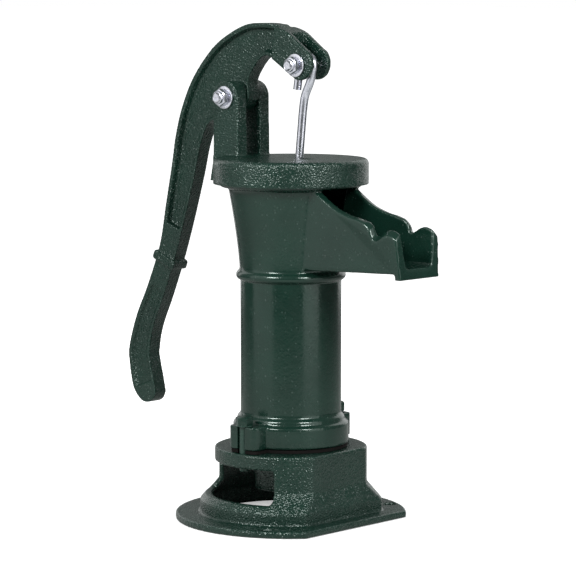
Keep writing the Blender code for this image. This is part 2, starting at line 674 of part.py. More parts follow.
def cross_bolt(name, parent, place, grip):
    """Bolt with its head on the +Y side; grip is half the width that it holds, washers included."""
    shank_end = -(grip + SEAT_GAP + NUT_HEIGHT + NUT_COLLAR + BOLT_STICK_OUT)
    bolt = make_object(name, rod_along("Y", BOLT_RADIUS, shank_end, grip + SEAT_GAP + 0.001), zinc, parent, place)
    head = prism(hexagon(HEX_ACROSS_FLATS), grip + SEAT_GAP, grip + SEAT_GAP + HEAD_HEIGHT)
    combine(bolt, guide(f"{name}_head", head, parent, place), "UNION")
    return bolt


def lock_nut(name, parent, place, grip):
    """Hexagon nut on the -Y side with the round collar that holds its nylon ring."""
    start = -(grip + SEAT_GAP)
    nut = make_object(name, prism(hexagon(HEX_ACROSS_FLATS), start - NUT_HEIGHT, start), zinc, parent, place)
    collar = rod_along("Y", NUT_COLLAR_RADIUS, start - NUT_HEIGHT - NUT_COLLAR, start - NUT_HEIGHT + 0.001)
    combine(nut, guide(f"{name}_collar", collar, parent, place), "UNION")
    bore = rod_along("Y", BOLT_RADIUS + HOLE_CLEARANCE, start - 0.02, start + 0.01)
    combine(nut, guide(f"{name}_bore", bore, parent, place), "DIFFERENCE")
    return nut


def washer(name, parent, place, low):
    bm = turned([(BOLT_RADIUS + HOLE_CLEARANCE, WASHER_THICKNESS), (WASHER_RADIUS, WASHER_THICKNESS),
                 (WASHER_RADIUS, 0), (BOLT_RADIUS + HOLE_CLEARANCE, 0)], 24, True)
    for vert in bm.verts:
        x, y, z = vert.co
        vert.co = (x, low + z, y)
    return make_object(name, bm, zinc, parent, place)


def cross_fastener(prefix, parent, place, half_width):
    """A bolt, two washers and a lock nut across a joint that is half_width to each side."""
    seat = half_width + SEAT_GAP
    grip = seat + WASHER_THICKNESS
    cross_bolt(f"{prefix}_bolt", parent, place, grip)
    lock_nut(f"{prefix}_nut", parent, place, grip)
    washer(f"{prefix}_washer_head", parent, place, seat)
    washer(f"{prefix}_washer_nut", parent, place, -seat - WASHER_THICKNESS)


def make_clamp_bolts(parent):
    """Bolts that hold the body's lugs down on the base."""
    seat = LUG_TOP + SEAT_GAP
    for name, side in (("base_bolt_near", -1), ("base_bolt_far", 1)):
        place = (0, side * CLAMP_RADIUS, 0)
        bolt = make_object(name, rod_along("Z", BOLT_RADIUS, DECK_UNDERSIDE - 0.004, seat + 0.001), blackened,
                           parent, place)
        head = prism(hexagon(HEX_ACROSS_FLATS), seat, seat + CLAMP_HEAD_HEIGHT, "Z")
        combine(bolt, guide(f"{name}_head", head, parent, place), "UNION")


# Lever


def station(position):
    """Outer and inner point at a place between the lever's stations."""
    outer = [s[0] for s in LEVER_STATIONS]
    inner = [s[1] for s in LEVER_STATIONS]
    return spline_at(outer, position), spline_at(inner, position)


def spline_at(points, position):
    index = min(int(position), len(points) - 2)
    t = position - index
    ends = [points[0], *points, points[-1]]
    a, b, c, d = (Vector(p) for p in ends[index:index + 4])
    return 0.5 * (2 * b + (c - a) * t + (2 * a - 5 * b + 4 * c - d) * t ** 2
                  + (3 * b - a - 3 * c + d) * t ** 3)


def lever_outline():
    count = (len(LEVER_STATIONS) - 1) * STATION_STEPS
    rows = [station(i / STATION_STEPS) for i in range(count + 1)]
    outer = [tuple(row[0]) for row in rows]
    inner = [tuple(row[1]) for row in rows]
    nose = [(ARM_X - 0.012, ARM_Z + 0.019), (ARM_X - 0.012, ARM_Z + 0.006)]
    heel = smooth([inner[0], (-0.1028, -0.2704), (-0.1140, -0.2746), outer[0]], 4)
    return outer + nose + inner[::-1] + heel[1:-1]


def pocket_outline(start, end):
    steps = max(int((end - start) * STATION_STEPS), 4)
    outer = []
    inner = []
    for step in range(steps + 1):
        edge, other = station(start + (end - start) * step / steps)
        across = (other - edge).normalized()
        outer.append(tuple(edge + across * OUTER_RIM))
        inner.append(tuple(other - across * INNER_RIM))
    return outer + inner[::-1]


def clevis_outline():
    """Side view of the forked head round the rod bolt, from the fulcrum."""
    centre = (ARM_X + 0.0025, ARM_Z + 0.0017)
    top = smooth([(0.0500, 0.0602), (0.0656, 0.0554), (0.0746, 0.0489), (0.0842, 0.0421)], 3)
    nose = arc(centre, CLEVIS_RADIUS, 48, -105, 14)
    return top + nose + [(0.0466, 0.0335)]


def make_lever(pivot):
    half = LEVER_THICKNESS / 2
    place = (PIVOT_X, 0, PIVOT_Z)
    lever = make_object("lever", prism(lever_outline(), -half, half), casting_rough, pivot, place)
    clevis = prism(clevis_outline(), -CLEVIS_HALF_WIDTH, CLEVIS_HALF_WIDTH)
    combine(lever, guide("clevis_block", clevis, pivot, place), "UNION")

    outer, inner = station(COLLAR_STATION)
    across = (inner - outer).normalized()
    along = Vector((-across.y, across.x))
    middle = (outer + inner) / 2
    wide = (inner - outer).length / 2 + 0.0030
    tall = 0.0042
    soft = 0.0014
    band = []
    for a, b in ((1, 1), (-1, 1), (-1, -1), (1, -1)):
        for x, y in ((a * wide, b * (tall - soft)), (a * (wide - soft), b * tall))[::a * b]:
            band.append(tuple(middle + across * x + along * y))
    collar = prism(band, -half - COLLAR_RAISE, half + COLLAR_RAISE)
    combine(lever, guide("lever_collar", collar, pivot, place), "UNION")

    for name, (start, end) in (("grip", GRIP_POCKET), ("arm", ARM_POCKET)):
        outline = pocket_outline(start, end)
        for side in (1, -1):
            low, high = sorted((side * (half - POCKET_DEPTH), side * (half + 0.004)))
            cut = guide(f"{name}_pocket_{side}", prism(outline, low, high), pivot, place)
            combine(lever, cut, "DIFFERENCE")

    boss = rod_along("Y", FULCRUM_BOSS, -half, half, 32)
    combine(lever, guide("fulcrum_boss", boss, pivot, place), "UNION")

    left = ARM_X - 0.0155
    gap = [(left + 0.0055, ARM_Z + 0.045), (left + 0.0055, ARM_Z + 0.020), (left, ARM_Z + 0.008),
           (left, ARM_Z - 0.030), (ARM_X + 0.040, ARM_Z - 0.030), (ARM_X + 0.040, ARM_Z + 0.045)]
    slot = prism(gap, -CLEVIS_GAP / 2, CLEVIS_GAP / 2)
    combine(lever, guide("clevis_slot", slot, pivot, place), "DIFFERENCE")
    hole = BOLT_RADIUS + HOLE_CLEARANCE
    for name, x, z in (("lever_fulcrum_hole", 0, 0), ("lever_rod_hole", ARM_X, ARM_Z)):
        bore = rod_along("Y", hole, -0.03, 0.03)
        combine(lever, guide(name, bore, pivot, (PIVOT_X + x, 0, PIVOT_Z + z)), "DIFFERENCE")
    return lever


# Piston rod


def rod_route():
    """Centre line of the rod from its hook's tail to its eye, from the rod bolt, in XZ."""
    eye = Vector((-PIN_X - ROD_EYE_LEAD, -ROD_EYE_DROP))
    tail = (-HOOK_RADIUS - 0.0022, -HOOK_TAIL)
    hook = arc((0, 0), HOOK_RADIUS, 175, -25, 12)
    lower = Vector((-0.0015, -0.0260))
    joint = Vector((-0.0040, -0.0400))
    along = (eye - joint).normalized()
    neck = eye - along * (EYE_RADIUS + 0.004)
    ring_start = math.degrees(math.atan2(-along.y, -along.x))
    ring = arc(eye, EYE_RADIUS, ring_start + 28, ring_start + 338, 20)
    straight = [tuple(joint.lerp(neck, i / 4)) for i in range(5)]
    bend = smooth([hook[-1], (0.0045, -0.0135), tuple(lower), tuple(joint)], 4)
    return [tail, (-HOOK_RADIUS - 0.0006, -HOOK_TAIL / 2)] + hook + bend[1:-1] + straight + ring


def make_rod(rod_axis):
    route = rod_route()
    curve = bpy.data.curves.new("piston_rod", "CURVE")
    curve.dimensions = "3D"
    spline = curve.splines.new("POLY")
    spline.points.add(len(route) - 1)
    for point, (x, z) in zip(spline.points, route):
        point.co = (x, 0, z, 1)
    curve.bevel_depth = ROD_RADIUS
    curve.bevel_resolution = 2
    curve.use_fill_caps = True
    curve.materials.append(zinc)
    rod = bpy.data.objects.new("piston_rod", curve)
    bpy.context.collection.objects.link(rod)
    rod.parent = rod_axis
    rod.location = Vector((PIN_X, 0, PIN_Z)) - origin_of(rod_axis)
    return rod


def rod_slot_ends():
    """Where the cap's slot starts and ends, from the rod's sweep at the cap's plate."""
    lengths = (CAP_TOP - CAP_PLATE - 0.001, CAP_TOP + 0.001)
    arm = math.hypot(ARM_X, ARM_Z)
    rest = math.degrees(math.atan2(ARM_Z, ARM_X))
    route = [Vector(point) for point in rod_route()]
    low, high = 1.0, -1.0
    for step in range(20):
        angle = math.radians(rest - LEVER_TRAVEL * step / 19)
        pin = Vector((PIVOT_X + arm * math.cos(angle), PIVOT_Z + arm * math.sin(angle)))
        for a, b in zip(route, route[1:]):
            for share in (0, 0.25, 0.5, 0.75):
                point = pin + a.lerp(b, share)
                if lengths[0] - ROD_RADIUS < point.y < lengths[1] + ROD_RADIUS:
                    low = min(low, point.x)
                    high = max(high, point.x)
    margin = ROD_RADIUS + 0.0009
    return low - margin, high + margin


# Plunger, about the barrel's axis with its origin on the plunger pin


def make_plunger(plunger_axis, poppet_axis):
    place = (0, 0, EYE_Z)
    cup_low = -CUP_BOTTOM
    cup_inner = BORE_RADIUS - SLIDE_GAP - CUP_WALL
    cup_floor = cup_low + CUP_WALL
    hole = CAGE_NECK_RADIUS + HOLE_CLEARANCE
    cup = [(hole, cup_floor), (cup_inner - 0.001, cup_floor), (cup_inner, cup_floor + 0.001),
           (cup_inner, cup_low + CUP_HEIGHT), (cup_inner + CUP_WALL * 0.6, cup_low + CUP_HEIGHT),
           (cup_inner + CUP_WALL, cup_low + CUP_HEIGHT - 0.0020), (cup_inner + CUP_WALL, cup_low + 0.0020),
           (cup_inner + CUP_WALL - 0.0020, cup_low), (hole, cup_low)]
    make_object("cup_leather", turned(cup, ROUND, True), leather_brown, plunger_axis, place)

    disc_low = cup_floor + SEAT_GAP
    disc_high = disc_low + CAGE_DISC
    neck_low = cup_low - SEAT_GAP - FOLLOWER_THICKNESS + 0.0010
    disc = cup_inner - 0.0008
    profile = [(CAGE_PORT_RADIUS, disc_high), (disc - 0.001, disc_high), (disc, disc_high - 0.001),
               (disc, disc_low), (CAGE_NECK_RADIUS, disc_low), (CAGE_NECK_RADIUS, neck_low),
               (CAGE_PORT_RADIUS, neck_low)]
    cage = make_object("plunger_cage", turned(profile, ROUND, True), bare_iron, plunger_axis, place)
    outline = arc((0, 0), CHEEK_HALF_WIDTH, 0, 180, 10)
    outline += [(-CHEEK_HALF_WIDTH, disc_high - 0.002), (CHEEK_HALF_WIDTH, disc_high - 0.002)]
    for side in (1, -1):
        low, high = sorted((side * CAGE_GAP / 2, side * (CAGE_GAP / 2 + CHEEK_THICKNESS)))
        combine(cage, guide(f"cage_cheek_{side}", prism(outline, low, high), plunger_axis, place), "UNION")
    bore = rod_along("Y", PLUNGER_PIN_RADIUS + HOLE_CLEARANCE, -0.04, 0.04)
    combine(cage, guide("cage_bore", bore, plunger_axis, place), "DIFFERENCE")

    top = cup_low - SEAT_GAP
    low = top - FOLLOWER_THICKNESS
    rim = BORE_RADIUS - FOLLOWER_RIM
    profile = [(hole, top), (rim, top), (rim, low + 0.0015), (rim - 0.0015, low), (hole, low)]
    make_object("plunger_follower", turned(profile, ROUND, True), bare_iron, plunger_axis, place)

    reach = CAGE_GAP / 2 + CHEEK_THICKNESS
    pin_end = reach + 0.0045
    pin = make_object("plunger_pin", rod_along("Y", PLUNGER_PIN_RADIUS, -pin_end, reach + SEAT_GAP + 0.001), zinc,
                      plunger_axis, place)
    head = rod_along("Y", PLUNGER_PIN_RADIUS + 0.0015, reach + SEAT_GAP, reach + SEAT_GAP + 0.0020)
    combine(pin, guide("pin_head", head, plunger_axis, place), "UNION")
    cotter_radius = 0.0008
    cotter_place = (0, -(reach + 0.0025), EYE_Z)
    drill = rod_along("Z", cotter_radius + HOLE_CLEARANCE, -0.01, 0.01, 12)
    combine(pin, guide("cotter_hole", drill, plunger_axis, cotter_place), "DIFFERENCE")
    cotter = rod_along("Z", cotter_radius, -0.0065, 0.0055, 12)
    pin_clip = make_object("plunger_cotter", cotter, zinc, plunger_axis, cotter_place)
    ring = bmesh.new()
    bmesh.ops.create_uvsphere(ring, u_segments=12, v_segments=8, radius=0.0018)
    bmesh.ops.translate(ring, vec=(0, 0, 0.0062), verts=ring.verts)
    combine(pin_clip, guide("cotter_loop", ring, plunger_axis, cotter_place), "UNION")

    seat = disc_high + SEAT_GAP
    head = CAGE_PORT_RADIUS + POPPET_OVERLAP
    profile = [(0, seat + POPPET_THICKNESS), (head - 0.0015, seat + POPPET_THICKNESS),
               (head, seat + POPPET_THICKNESS - 0.0015), (head, seat), (POPPET_STEM_RADIUS, seat),
               (POPPET_STEM_RADIUS, neck_low), (0, neck_low)]
    make_object("plunger_poppet", turned(profile, 32), brass, poppet_axis, place)


def centre_on_outline(root):
    """Moves the pump so that its outline's middle is at x = 0."""
    bpy.context.view_layer.update()
    depsgraph = bpy.context.evaluated_depsgraph_get()
    low, high = 1.0, -1.0
    for obj in bpy.data.objects:
        if obj.hide_render or obj.type == "EMPTY":
            continue
        solid = obj.evaluated_get(depsgraph)
        mesh = solid.to_mesh()
        for vert in mesh.vertices:
            x = (solid.matrix_world @ vert.co).x
            low = min(low, x)
            high = max(high, x)
        solid.to_mesh_clear()
    root.location.x = -(low + high) / 2


clear_scene()
green = (0.022, 0.062, 0.044)
casting_rough = make_material("green_enamel_rough", green, 0.42, 0.0)
casting_smooth = make_material("green_enamel_smooth", green, 0.30, 0.0)
zinc = make_material("zinc_plate", (0.72, 0.72, 0.74), 0.28, 1.0)
blackened = make_material("painted_bolt", (0.020, 0.050, 0.038), 0.45, 0.0)
bare_iron = make_material("bare_iron", (0.16, 0.15, 0.15), 0.55, 0.8)
leather_brown = make_material("leather", (0.20, 0.10, 0.05), 0.75, 0.0)
brass = make_material("brass", (0.72, 0.52, 0.22), 0.32, 1.0)
guide_material = make_material("guide", (0.8, 0.2, 0.2), 0.5, 0.0)

pump = make_empty("pump_root", None, (0, 0, 0))
cap_swivel = make_empty("cap_swivel_axis", pump, (0, 0, CAP_LAND))
lever_pivot = make_empty("lever_pivot_axis", cap_swivel, (PIVOT_X, 0, PIVOT_Z))
rod_pivot = make_empty("rod_pivot_axis", lever_pivot, (PIN_X, 0, PIN_Z))
plunger_slide = make_empty("plunger_slide_axis", cap_swivel, (0, 0, EYE_Z))
poppet_slide = make_empty("poppet_slide_axis", plunger_slide, (0, 0, EYE_Z))
flap_hinge = make_empty("flap_hinge_axis", pump, (-FLAP_HINGE, 0, FLAP_HINGE_HEIGHT))

make_base(pump)
make_valve_leather(pump)
make_foot_valve(flap_hinge)
make_body(pump)
make_clamp_bolts(pump)
make_cap(cap_swivel)
make_set_screw(cap_swivel)
cross_fastener("fulcrum", cap_swivel, (PIVOT_X, 0, PIVOT_Z), EAR_FACE)
make_lever(lever_pivot)
cross_fastener("rod", lever_pivot, (PIN_X, 0, PIN_Z), CLEVIS_HALF_WIDTH)
make_rod(rod_pivot)
make_plunger(plunger_slide, poppet_slide)
centre_on_outline(pump)
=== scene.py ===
import math

import bmesh
import bpy
from mathutils import Matrix, Vector


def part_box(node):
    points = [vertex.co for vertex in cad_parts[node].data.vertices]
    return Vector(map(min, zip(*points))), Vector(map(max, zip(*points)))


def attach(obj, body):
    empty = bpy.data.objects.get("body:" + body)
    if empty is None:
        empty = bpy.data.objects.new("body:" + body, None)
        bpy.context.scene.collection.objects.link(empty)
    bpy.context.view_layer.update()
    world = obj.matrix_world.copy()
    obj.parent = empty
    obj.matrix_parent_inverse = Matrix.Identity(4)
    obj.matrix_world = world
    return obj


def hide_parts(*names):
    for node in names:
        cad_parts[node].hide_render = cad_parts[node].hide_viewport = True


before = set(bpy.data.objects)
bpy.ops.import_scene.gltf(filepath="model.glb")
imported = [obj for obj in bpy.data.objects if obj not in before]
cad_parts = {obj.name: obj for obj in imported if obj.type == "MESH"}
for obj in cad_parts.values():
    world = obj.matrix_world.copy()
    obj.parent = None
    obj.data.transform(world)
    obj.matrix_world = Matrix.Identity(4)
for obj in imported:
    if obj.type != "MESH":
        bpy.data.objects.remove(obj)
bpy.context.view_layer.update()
scene = bpy.context.scene

# Pieces are drawn in millimetres about the barrel's axis and moved to their place at the end.
barrelLow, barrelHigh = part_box("cup_leather")
axisX = (barrelLow.x + barrelHigh.x) / 2
toPlace = Matrix.Translation((axisX, 0, 0)) @ Matrix.Scale(0.001, 4)
fitGap = 0.3


def heightOf(node, top=False):
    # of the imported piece's underside or top, in millimetres
    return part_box(node)[1 if top else 0].z * 1000


# Drawing helpers


def addObject(name, data):
    obj = bpy.data.objects.new(name, data)
    scene.collection.objects.link(obj)
    return obj


def meshObject(name, verts, faces):
    mesh = bpy.data.meshes.new(name)
    mesh.from_pydata(verts, [], faces)
    bm = bmesh.new()
    bm.from_mesh(mesh)
    bmesh.ops.remove_doubles(bm, verts=bm.verts, dist=1e-5)
    bmesh.ops.recalc_face_normals(bm, faces=bm.faces)
    bm.to_mesh(mesh)
    bm.free()
    return addObject(name, mesh)


def arcPoints(centre, radius, start, end, count):
    angles = [math.radians(start + (end - start) * i / count) for i in range(count + 1)]
    return [(centre[0] + radius * math.cos(a), centre[1] + radius * math.sin(a)) for a in angles]


def circlePoints(centre, radius, count, start):
    # start in degrees keeps its corners off those of what it cuts
    return arcPoints(centre, radius, start, start + 360 - 360 / count, count - 1)


def alongLine(points, position):
    # a smooth curve through the points, read at a point's number or between two
    index = min(int(position), len(points) - 2)
    t = position - index
    ends = [points[0], *points, points[-1]]
    a, b, c, d = (Vector(p) for p in ends[index:index + 4])
    return 0.5 * (2 * b + (c - a) * t + (2 * a - 5 * b + 4 * c - d) * t ** 2
                  + (3 * b - a - 3 * c + d) * t ** 3)


def smoothLine(points, steps):
    count = (len(points) - 1) * steps
    return [tuple(alongLine(points, i / steps)) for i in range(count)] + [tuple(points[-1])]


def lathe(name, profile, steps=192, closed=False, axis="Z"):
    # profile holds (radius, height); an open one starts and ends on the axis
    verts, rings = [], []
    for radius, height in profile:
        if radius < 1e-6:
            rings.append([len(verts)] * steps)
            verts.append((0, 0, height))
        else:
            rings.append(list(range(len(verts), len(verts) + steps)))
            verts += [(radius * math.cos(2 * math.pi * i / steps), radius * math.sin(2 * math.pi * i / steps),
                       height) for i in range(steps)]
    if closed:
        rings.append(rings[0])
    faces = []
    for low, high in zip(rings, rings[1:]):
        for i in range(steps):
            j = (i + 1) % steps
            corners = [low[i], low[j], high[j], high[i]]
            corners = [c for k, c in enumerate(corners) if c not in corners[:k]]
            if len(corners) > 2:
                faces.append(corners)
    if axis == "Y":
        verts = [(x, z, -y) for x, y, z in verts]
    return meshObject(name, verts, faces)


def prism(name, outline, low, high, axis="Y"):
    place = {"X": lambda a, b, h: (h, a, b), "Y": lambda a, b, h: (a, h, b),
             "Z": lambda a, b, h: (a, b, h)}[axis]
    count = len(outline)
    verts = [place(a, b, low) for a, b in outline] + [place(a, b, high) for a, b in outline]
    faces = [list(range(count)), list(range(count, 2 * count))]
    faces += [(i, (i + 1) % count, count + (i + 1) % count, count + i) for i in range(count)]
    return meshObject(name, verts, faces)


def loft(name, rings):
    count = len(rings[0])
    verts = [point for ring in rings for point in ring]
    faces = [list(range(count)), list(range(len(verts) - count, len(verts)))]
    for row in range(len(rings) - 1):
        for i in range(count):
            a, b = row * count + i, row * count + (i + 1) % count
            faces += [(a, b, b + count), (a, b + count, a + count)]
    return meshObject(name, verts, faces)


def boxBlock(name, low, high):
    return prism(name, [(low[0], low[1]), (high[0], low[1]), (high[0], high[1]), (low[0], high[1])],
                 low[2], high[2], "Z")


def settle(obj):
    # turns the modifiers' result into the object's own mesh
    bpy.context.view_layer.update()
    made = bpy.data.meshes.new_from_object(obj.evaluated_get(bpy.context.evaluated_depsgraph_get()))
    old = obj.data
    obj.modifiers.clear()
    if obj.type == "MESH":
        obj.data = made
        bpy.data.meshes.remove(old)
        return obj
    swap = addObject(obj.name + "Mesh", made)
    bpy.data.objects.remove(obj)
    return swap


def combine(target, *steps):
    # steps are (tool, operation) pairs, done in order
    for tool, operation in steps:
        modifier = target.modifiers.new(tool.name, "BOOLEAN")
        modifier.operation = operation
        modifier.solver = "EXACT"
        modifier.object = tool
    settle(target)
    for tool, _ in steps:
        bpy.data.objects.remove(tool)
    return target


def castSkin(obj, cell, passes):
    # an even skin of square cells over the block, smoothed as sand casting leaves its edges
    skin = obj.modifiers.new("skin", "REMESH")
    skin.mode = "VOXEL"
    skin.voxel_size = cell
    soft = obj.modifiers.new("soft", "SMOOTH")
    soft.factor = 0.5
    soft.iterations = passes
    return settle(obj)


def joinPieces(name, objects):
    bm = bmesh.new()
    for obj in objects:
        bm.from_mesh(obj.data)
        bpy.data.objects.remove(obj)
    mesh = bpy.data.meshes.new(name)
    bm.to_mesh(mesh)
    bm.free()
    return addObject(name, mesh)


def finishPiece(obj, name, body, nodes, material, crease=180):
    obj.name = name
    obj.data.name = name
    obj.data.transform(toPlace)
    obj.data.materials.clear()
    obj.data.materials.append(material)
    obj.data.shade_smooth()
    if crease < 180:
        obj.data.set_sharp_from_angle(angle=math.radians(crease))
    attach(obj, body)
    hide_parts(*nodes)
    print(name, len(obj.data.polygons), "faces")
    return obj


# Shader groups


def newGroup(name, inputs, outputs):
    tree = bpy.data.node_groups.new(name, "ShaderNodeTree")
    for label, kind, value in inputs:
        socket = tree.interface.new_socket(name=label, in_out="INPUT", socket_type=kind)
        socket.default_value = value
    for label, kind in outputs:
        tree.interface.new_socket(name=label, in_out="OUTPUT", socket_type=kind)
    return tree, tree.nodes.new("NodeGroupInput"), tree.nodes.new("NodeGroupOutput")


def addNode(tree, kind, settings=None, **values):
    node = tree.nodes.new(kind)
    for key, value in (settings or {}).items():
        setattr(node, key, value)
    for key, value in values.items():
        node.inputs[key.replace("_", " ")].default_value = value
    return node


def feed(tree, sockets, values):
    # each value is a number, a colour or another node's output
    for socket, value in zip(sockets, values):
        if isinstance(value, (int, float)):
            socket.default_value = value
        elif isinstance(value, tuple):
            socket.default_value = (*value, 1.0)
        else:
            tree.links.new(value, socket)


def mathNode(tree, operation, first, second):
    node = addNode(tree, "ShaderNodeMath", {"operation": operation})
    feed(tree, node.inputs, (first, second))
    return node.outputs[0]


def rangeNode(tree, value, low, high, toLow, toHigh):
    node = tree.nodes.new("ShaderNodeMapRange")
    feed(tree, node.inputs, (value, low, high, toLow, toHigh))
    return node.outputs[0]


def noiseNode(tree, vector, scale, detail=2.0, roughness=0.5, distortion=0.0):
    node = addNode(tree, "ShaderNodeTexNoise", Detail=detail, Roughness=roughness, Distortion=distortion)
    feed(tree, (node.inputs["Vector"], node.inputs["Scale"]), (vector, scale))
    return node.outputs[0]


def castGrainGroup():
    # sand grain under enamel: pits and beads of mixed size, with a mask of single dots, painted as glints on
    # the enamel
    tree, given, made = newGroup(
        "castGrain",
        [("Vector", "NodeSocketVector", (0, 0, 0)), ("Grains per metre", "NodeSocketFloat", 800.0),
         ("Coarse share", "NodeSocketFloat", 0.4)],
        [("Height", "NodeSocketFloat"), ("Fleck", "NodeSocketFloat")])
    vector, density, coarse = given.outputs[0], given.outputs[1], given.outputs[2]
    fine = noiseNode(tree, vector, density, 0.4, 0.5, 0.15)
    lumpScale = mathNode(tree, "MULTIPLY", density, 0.42)
    lump = noiseNode(tree, vector, lumpScale, 1.5, 0.5, 0.6)
    cell = addNode(tree, "ShaderNodeTexVoronoi", {"feature": "SMOOTH_F1"}, Smoothness=0.55)
    beadScale = mathNode(tree, "MULTIPLY", density, 0.8)
    feed(tree, (cell.inputs["Vector"], cell.inputs["Scale"]), (vector, beadScale))
    bead = rangeNode(tree, cell.outputs["Distance"], 0.05, 0.55, 1.0, 0.0)
    both = mathNode(tree, "ADD", mathNode(tree, "MULTIPLY", fine, 0.7), mathNode(tree, "MULTIPLY", bead, 0.3))
    small = mathNode(tree, "MULTIPLY", both, mathNode(tree, "SUBTRACT", 1.0, coarse))
    height = mathNode(tree, "ADD", small, mathNode(tree, "MULTIPLY", lump, coarse))
    tree.links.new(height, made.inputs["Height"])
    # one small dot in some of the cells, which the enamels paint as a glint
    dots = tree.nodes.new("ShaderNodeTexVoronoi")
    dotScale = mathNode(tree, "MULTIPLY", density, 0.85)
    feed(tree, (dots.inputs["Vector"], dots.inputs["Scale"]), (vector, dotScale))
    dot = rangeNode(tree, dots.outputs["Distance"], 0.12, 0.36, 1.0, 0.0)
    split = tree.nodes.new("ShaderNodeSeparateColor")
    tree.links.new(dots.outputs["Color"], split.inputs[0])
    chosen = rangeNode(tree, split.outputs[0], 0.80, 0.98, 0.0, 1.0)
    tree.links.new(mathNode(tree, "MULTIPLY", dot, chosen), made.inputs["Fleck"])
    return tree


def makeEdgeCornerGroup():
    # outer edges, where enamel draws thin and a highlight is painted along them, and inner corners, where
    # shade is painted
    tree, given, made = newGroup(
        "edgeWear",
        [("Vector", "NodeSocketVector", (0, 0, 0)), ("Edge from", "NodeSocketFloat", 0.53),
         ("Edge to", "NodeSocketFloat", 0.60)],
        [("Edge", "NodeSocketFloat"), ("Corner", "NodeSocketFloat")])
    point = tree.nodes.new("ShaderNodeNewGeometry").outputs["Pointiness"]
    ragged = rangeNode(tree, noiseNode(tree, given.outputs[0], 220.0, 3.0, 0.6), 0.3, 0.7, -0.012, 0.012)
    edge = mathNode(tree, "ADD", point, ragged)
    tree.links.new(rangeNode(tree, edge, given.outputs[1], given.outputs[2], 0.0, 1.0), made.inputs["Edge"])
    tree.links.new(rangeNode(tree, point, 0.49, 0.42, 0.0, 1.0), made.inputs["Corner"])
    return tree


def patchGroup():
    # slow changes over a hand's width, for tone, and finer smears, for gloss
    tree, given, made = newGroup(
        "patches",
        [("Vector", "NodeSocketVector", (0, 0, 0)), ("Patches per metre", "NodeSocketFloat", 25.0)],
        [("Tone", "NodeSocketFloat"), ("Smear", "NodeSocketFloat")])
    tree.links.new(noiseNode(tree, given.outputs[0], given.outputs[1], 3.0, 0.55), made.inputs["Tone"])
    smearScale = mathNode(tree, "MULTIPLY", given.outputs[1], 5.0)
    tree.links.new(noiseNode(tree, given.outputs[0], smearScale, 4.0, 0.6, 0.8), made.inputs["Smear"])
    return tree


grainGroup = castGrainGroup()
edgeCornerGroup = makeEdgeCornerGroup()
toneGroup = patchGroup()


def groupNode(tree, group, vector, **values):
    node = tree.nodes.new("ShaderNodeGroup")
    node.node_tree = group
    tree.links.new(vector, node.inputs["Vector"])
    for key, value in values.items():
        node.inputs[key.replace("_", " ")].default_value = value
    return node


def mixColour(tree, factor, first, second):
    node = addNode(tree, "ShaderNodeMix", {"data_type": "RGBA"})
    feed(tree, (node.inputs["Factor"], node.inputs[6], node.inputs[7]), (factor, first, second))
    return node.outputs[2]


def startMaterial(name):
    material = bpy.data.materials.new(name)
    material.use_nodes = True
    tree = material.node_tree
    shader = tree.nodes["Principled BSDF"]
    coords = tree.nodes.new("ShaderNodeTexCoord").outputs["Object"]
    return material, tree, shader, coords


def addBump(tree, shader, height, distance):
    bump = addNode(tree, "ShaderNodeBump", Distance=distance, Strength=1.0)
    tree.links.new(height, bump.inputs["Height"])
    tree.links.new(bump.outputs["Normal"], shader.inputs["Normal"])


enamelLook = {
    "colour": (0.0042, 0.0195, 0.0132),      # deep bottle green
    "thinAndHighlitColour": (0.022, 0.052, 0.040),     # outer edges: enamel drawn thin, plus a painted highlight along them
    "glintColour": (0.30, 0.36, 0.34),       # painted glints: light grain tops standing in for the lamps' sparkle
    "cornerShadeColour": (0.0014, 0.0065, 0.0044),  # painted shade in inner corners
    "tint": (0.86, 1.0, 0.94, 1.0),          # colour of its gloss
}


def enamelMaterial(name, grains, depth, coarse, gloss, glintShare):
    # grains to the metre, their depth in metres, the share of coarse ones, roughness, painted glints'
    # strength
    material, tree, shader, coords = startMaterial(name)
    grain = groupNode(tree, grainGroup, coords, Grains_per_metre=grains, Coarse_share=coarse)
    edgesAndCorners = groupNode(tree, edgeCornerGroup, coords)
    patch = groupNode(tree, toneGroup, coords)
    darker, lighter = (tuple(c * share for c in enamelLook["colour"]) for share in (0.82, 1.18))
    tone = mixColour(tree, rangeNode(tree, patch.outputs["Tone"], 0.3, 0.7, 0.0, 1.0), darker, lighter)
    # painted glints: light dots on some grains in place of sparkle from the lamps
    flecked = mixColour(tree, mathNode(tree, "MULTIPLY", grain.outputs["Fleck"], glintShare), tone,
                        enamelLook["glintColour"])
    # outer edges lighter: partly enamel drawn thin, partly a painted highlight along them
    thinAndHighlit = mixColour(tree, mathNode(tree, "MULTIPLY", edgesAndCorners.outputs["Edge"], 0.65), flecked,
                      enamelLook["thinAndHighlitColour"])
    # inner corners darkened: painted shade
    cornerShaded = mixColour(tree, mathNode(tree, "MULTIPLY", edgesAndCorners.outputs["Corner"], 0.7), thinAndHighlit,
                       enamelLook["cornerShadeColour"])
    tree.links.new(cornerShaded, shader.inputs["Base Color"])
    rough = rangeNode(tree, patch.outputs["Smear"], 0.35, 0.65, gloss - 0.03, gloss + 0.05)
    tree.links.new(rough, shader.inputs["Roughness"])
    shader.inputs["IOR"].default_value = 1.52
    shader.inputs["Specular Tint"].default_value = enamelLook["tint"]
    addBump(tree, shader, grain.outputs["Height"], depth)
    return material


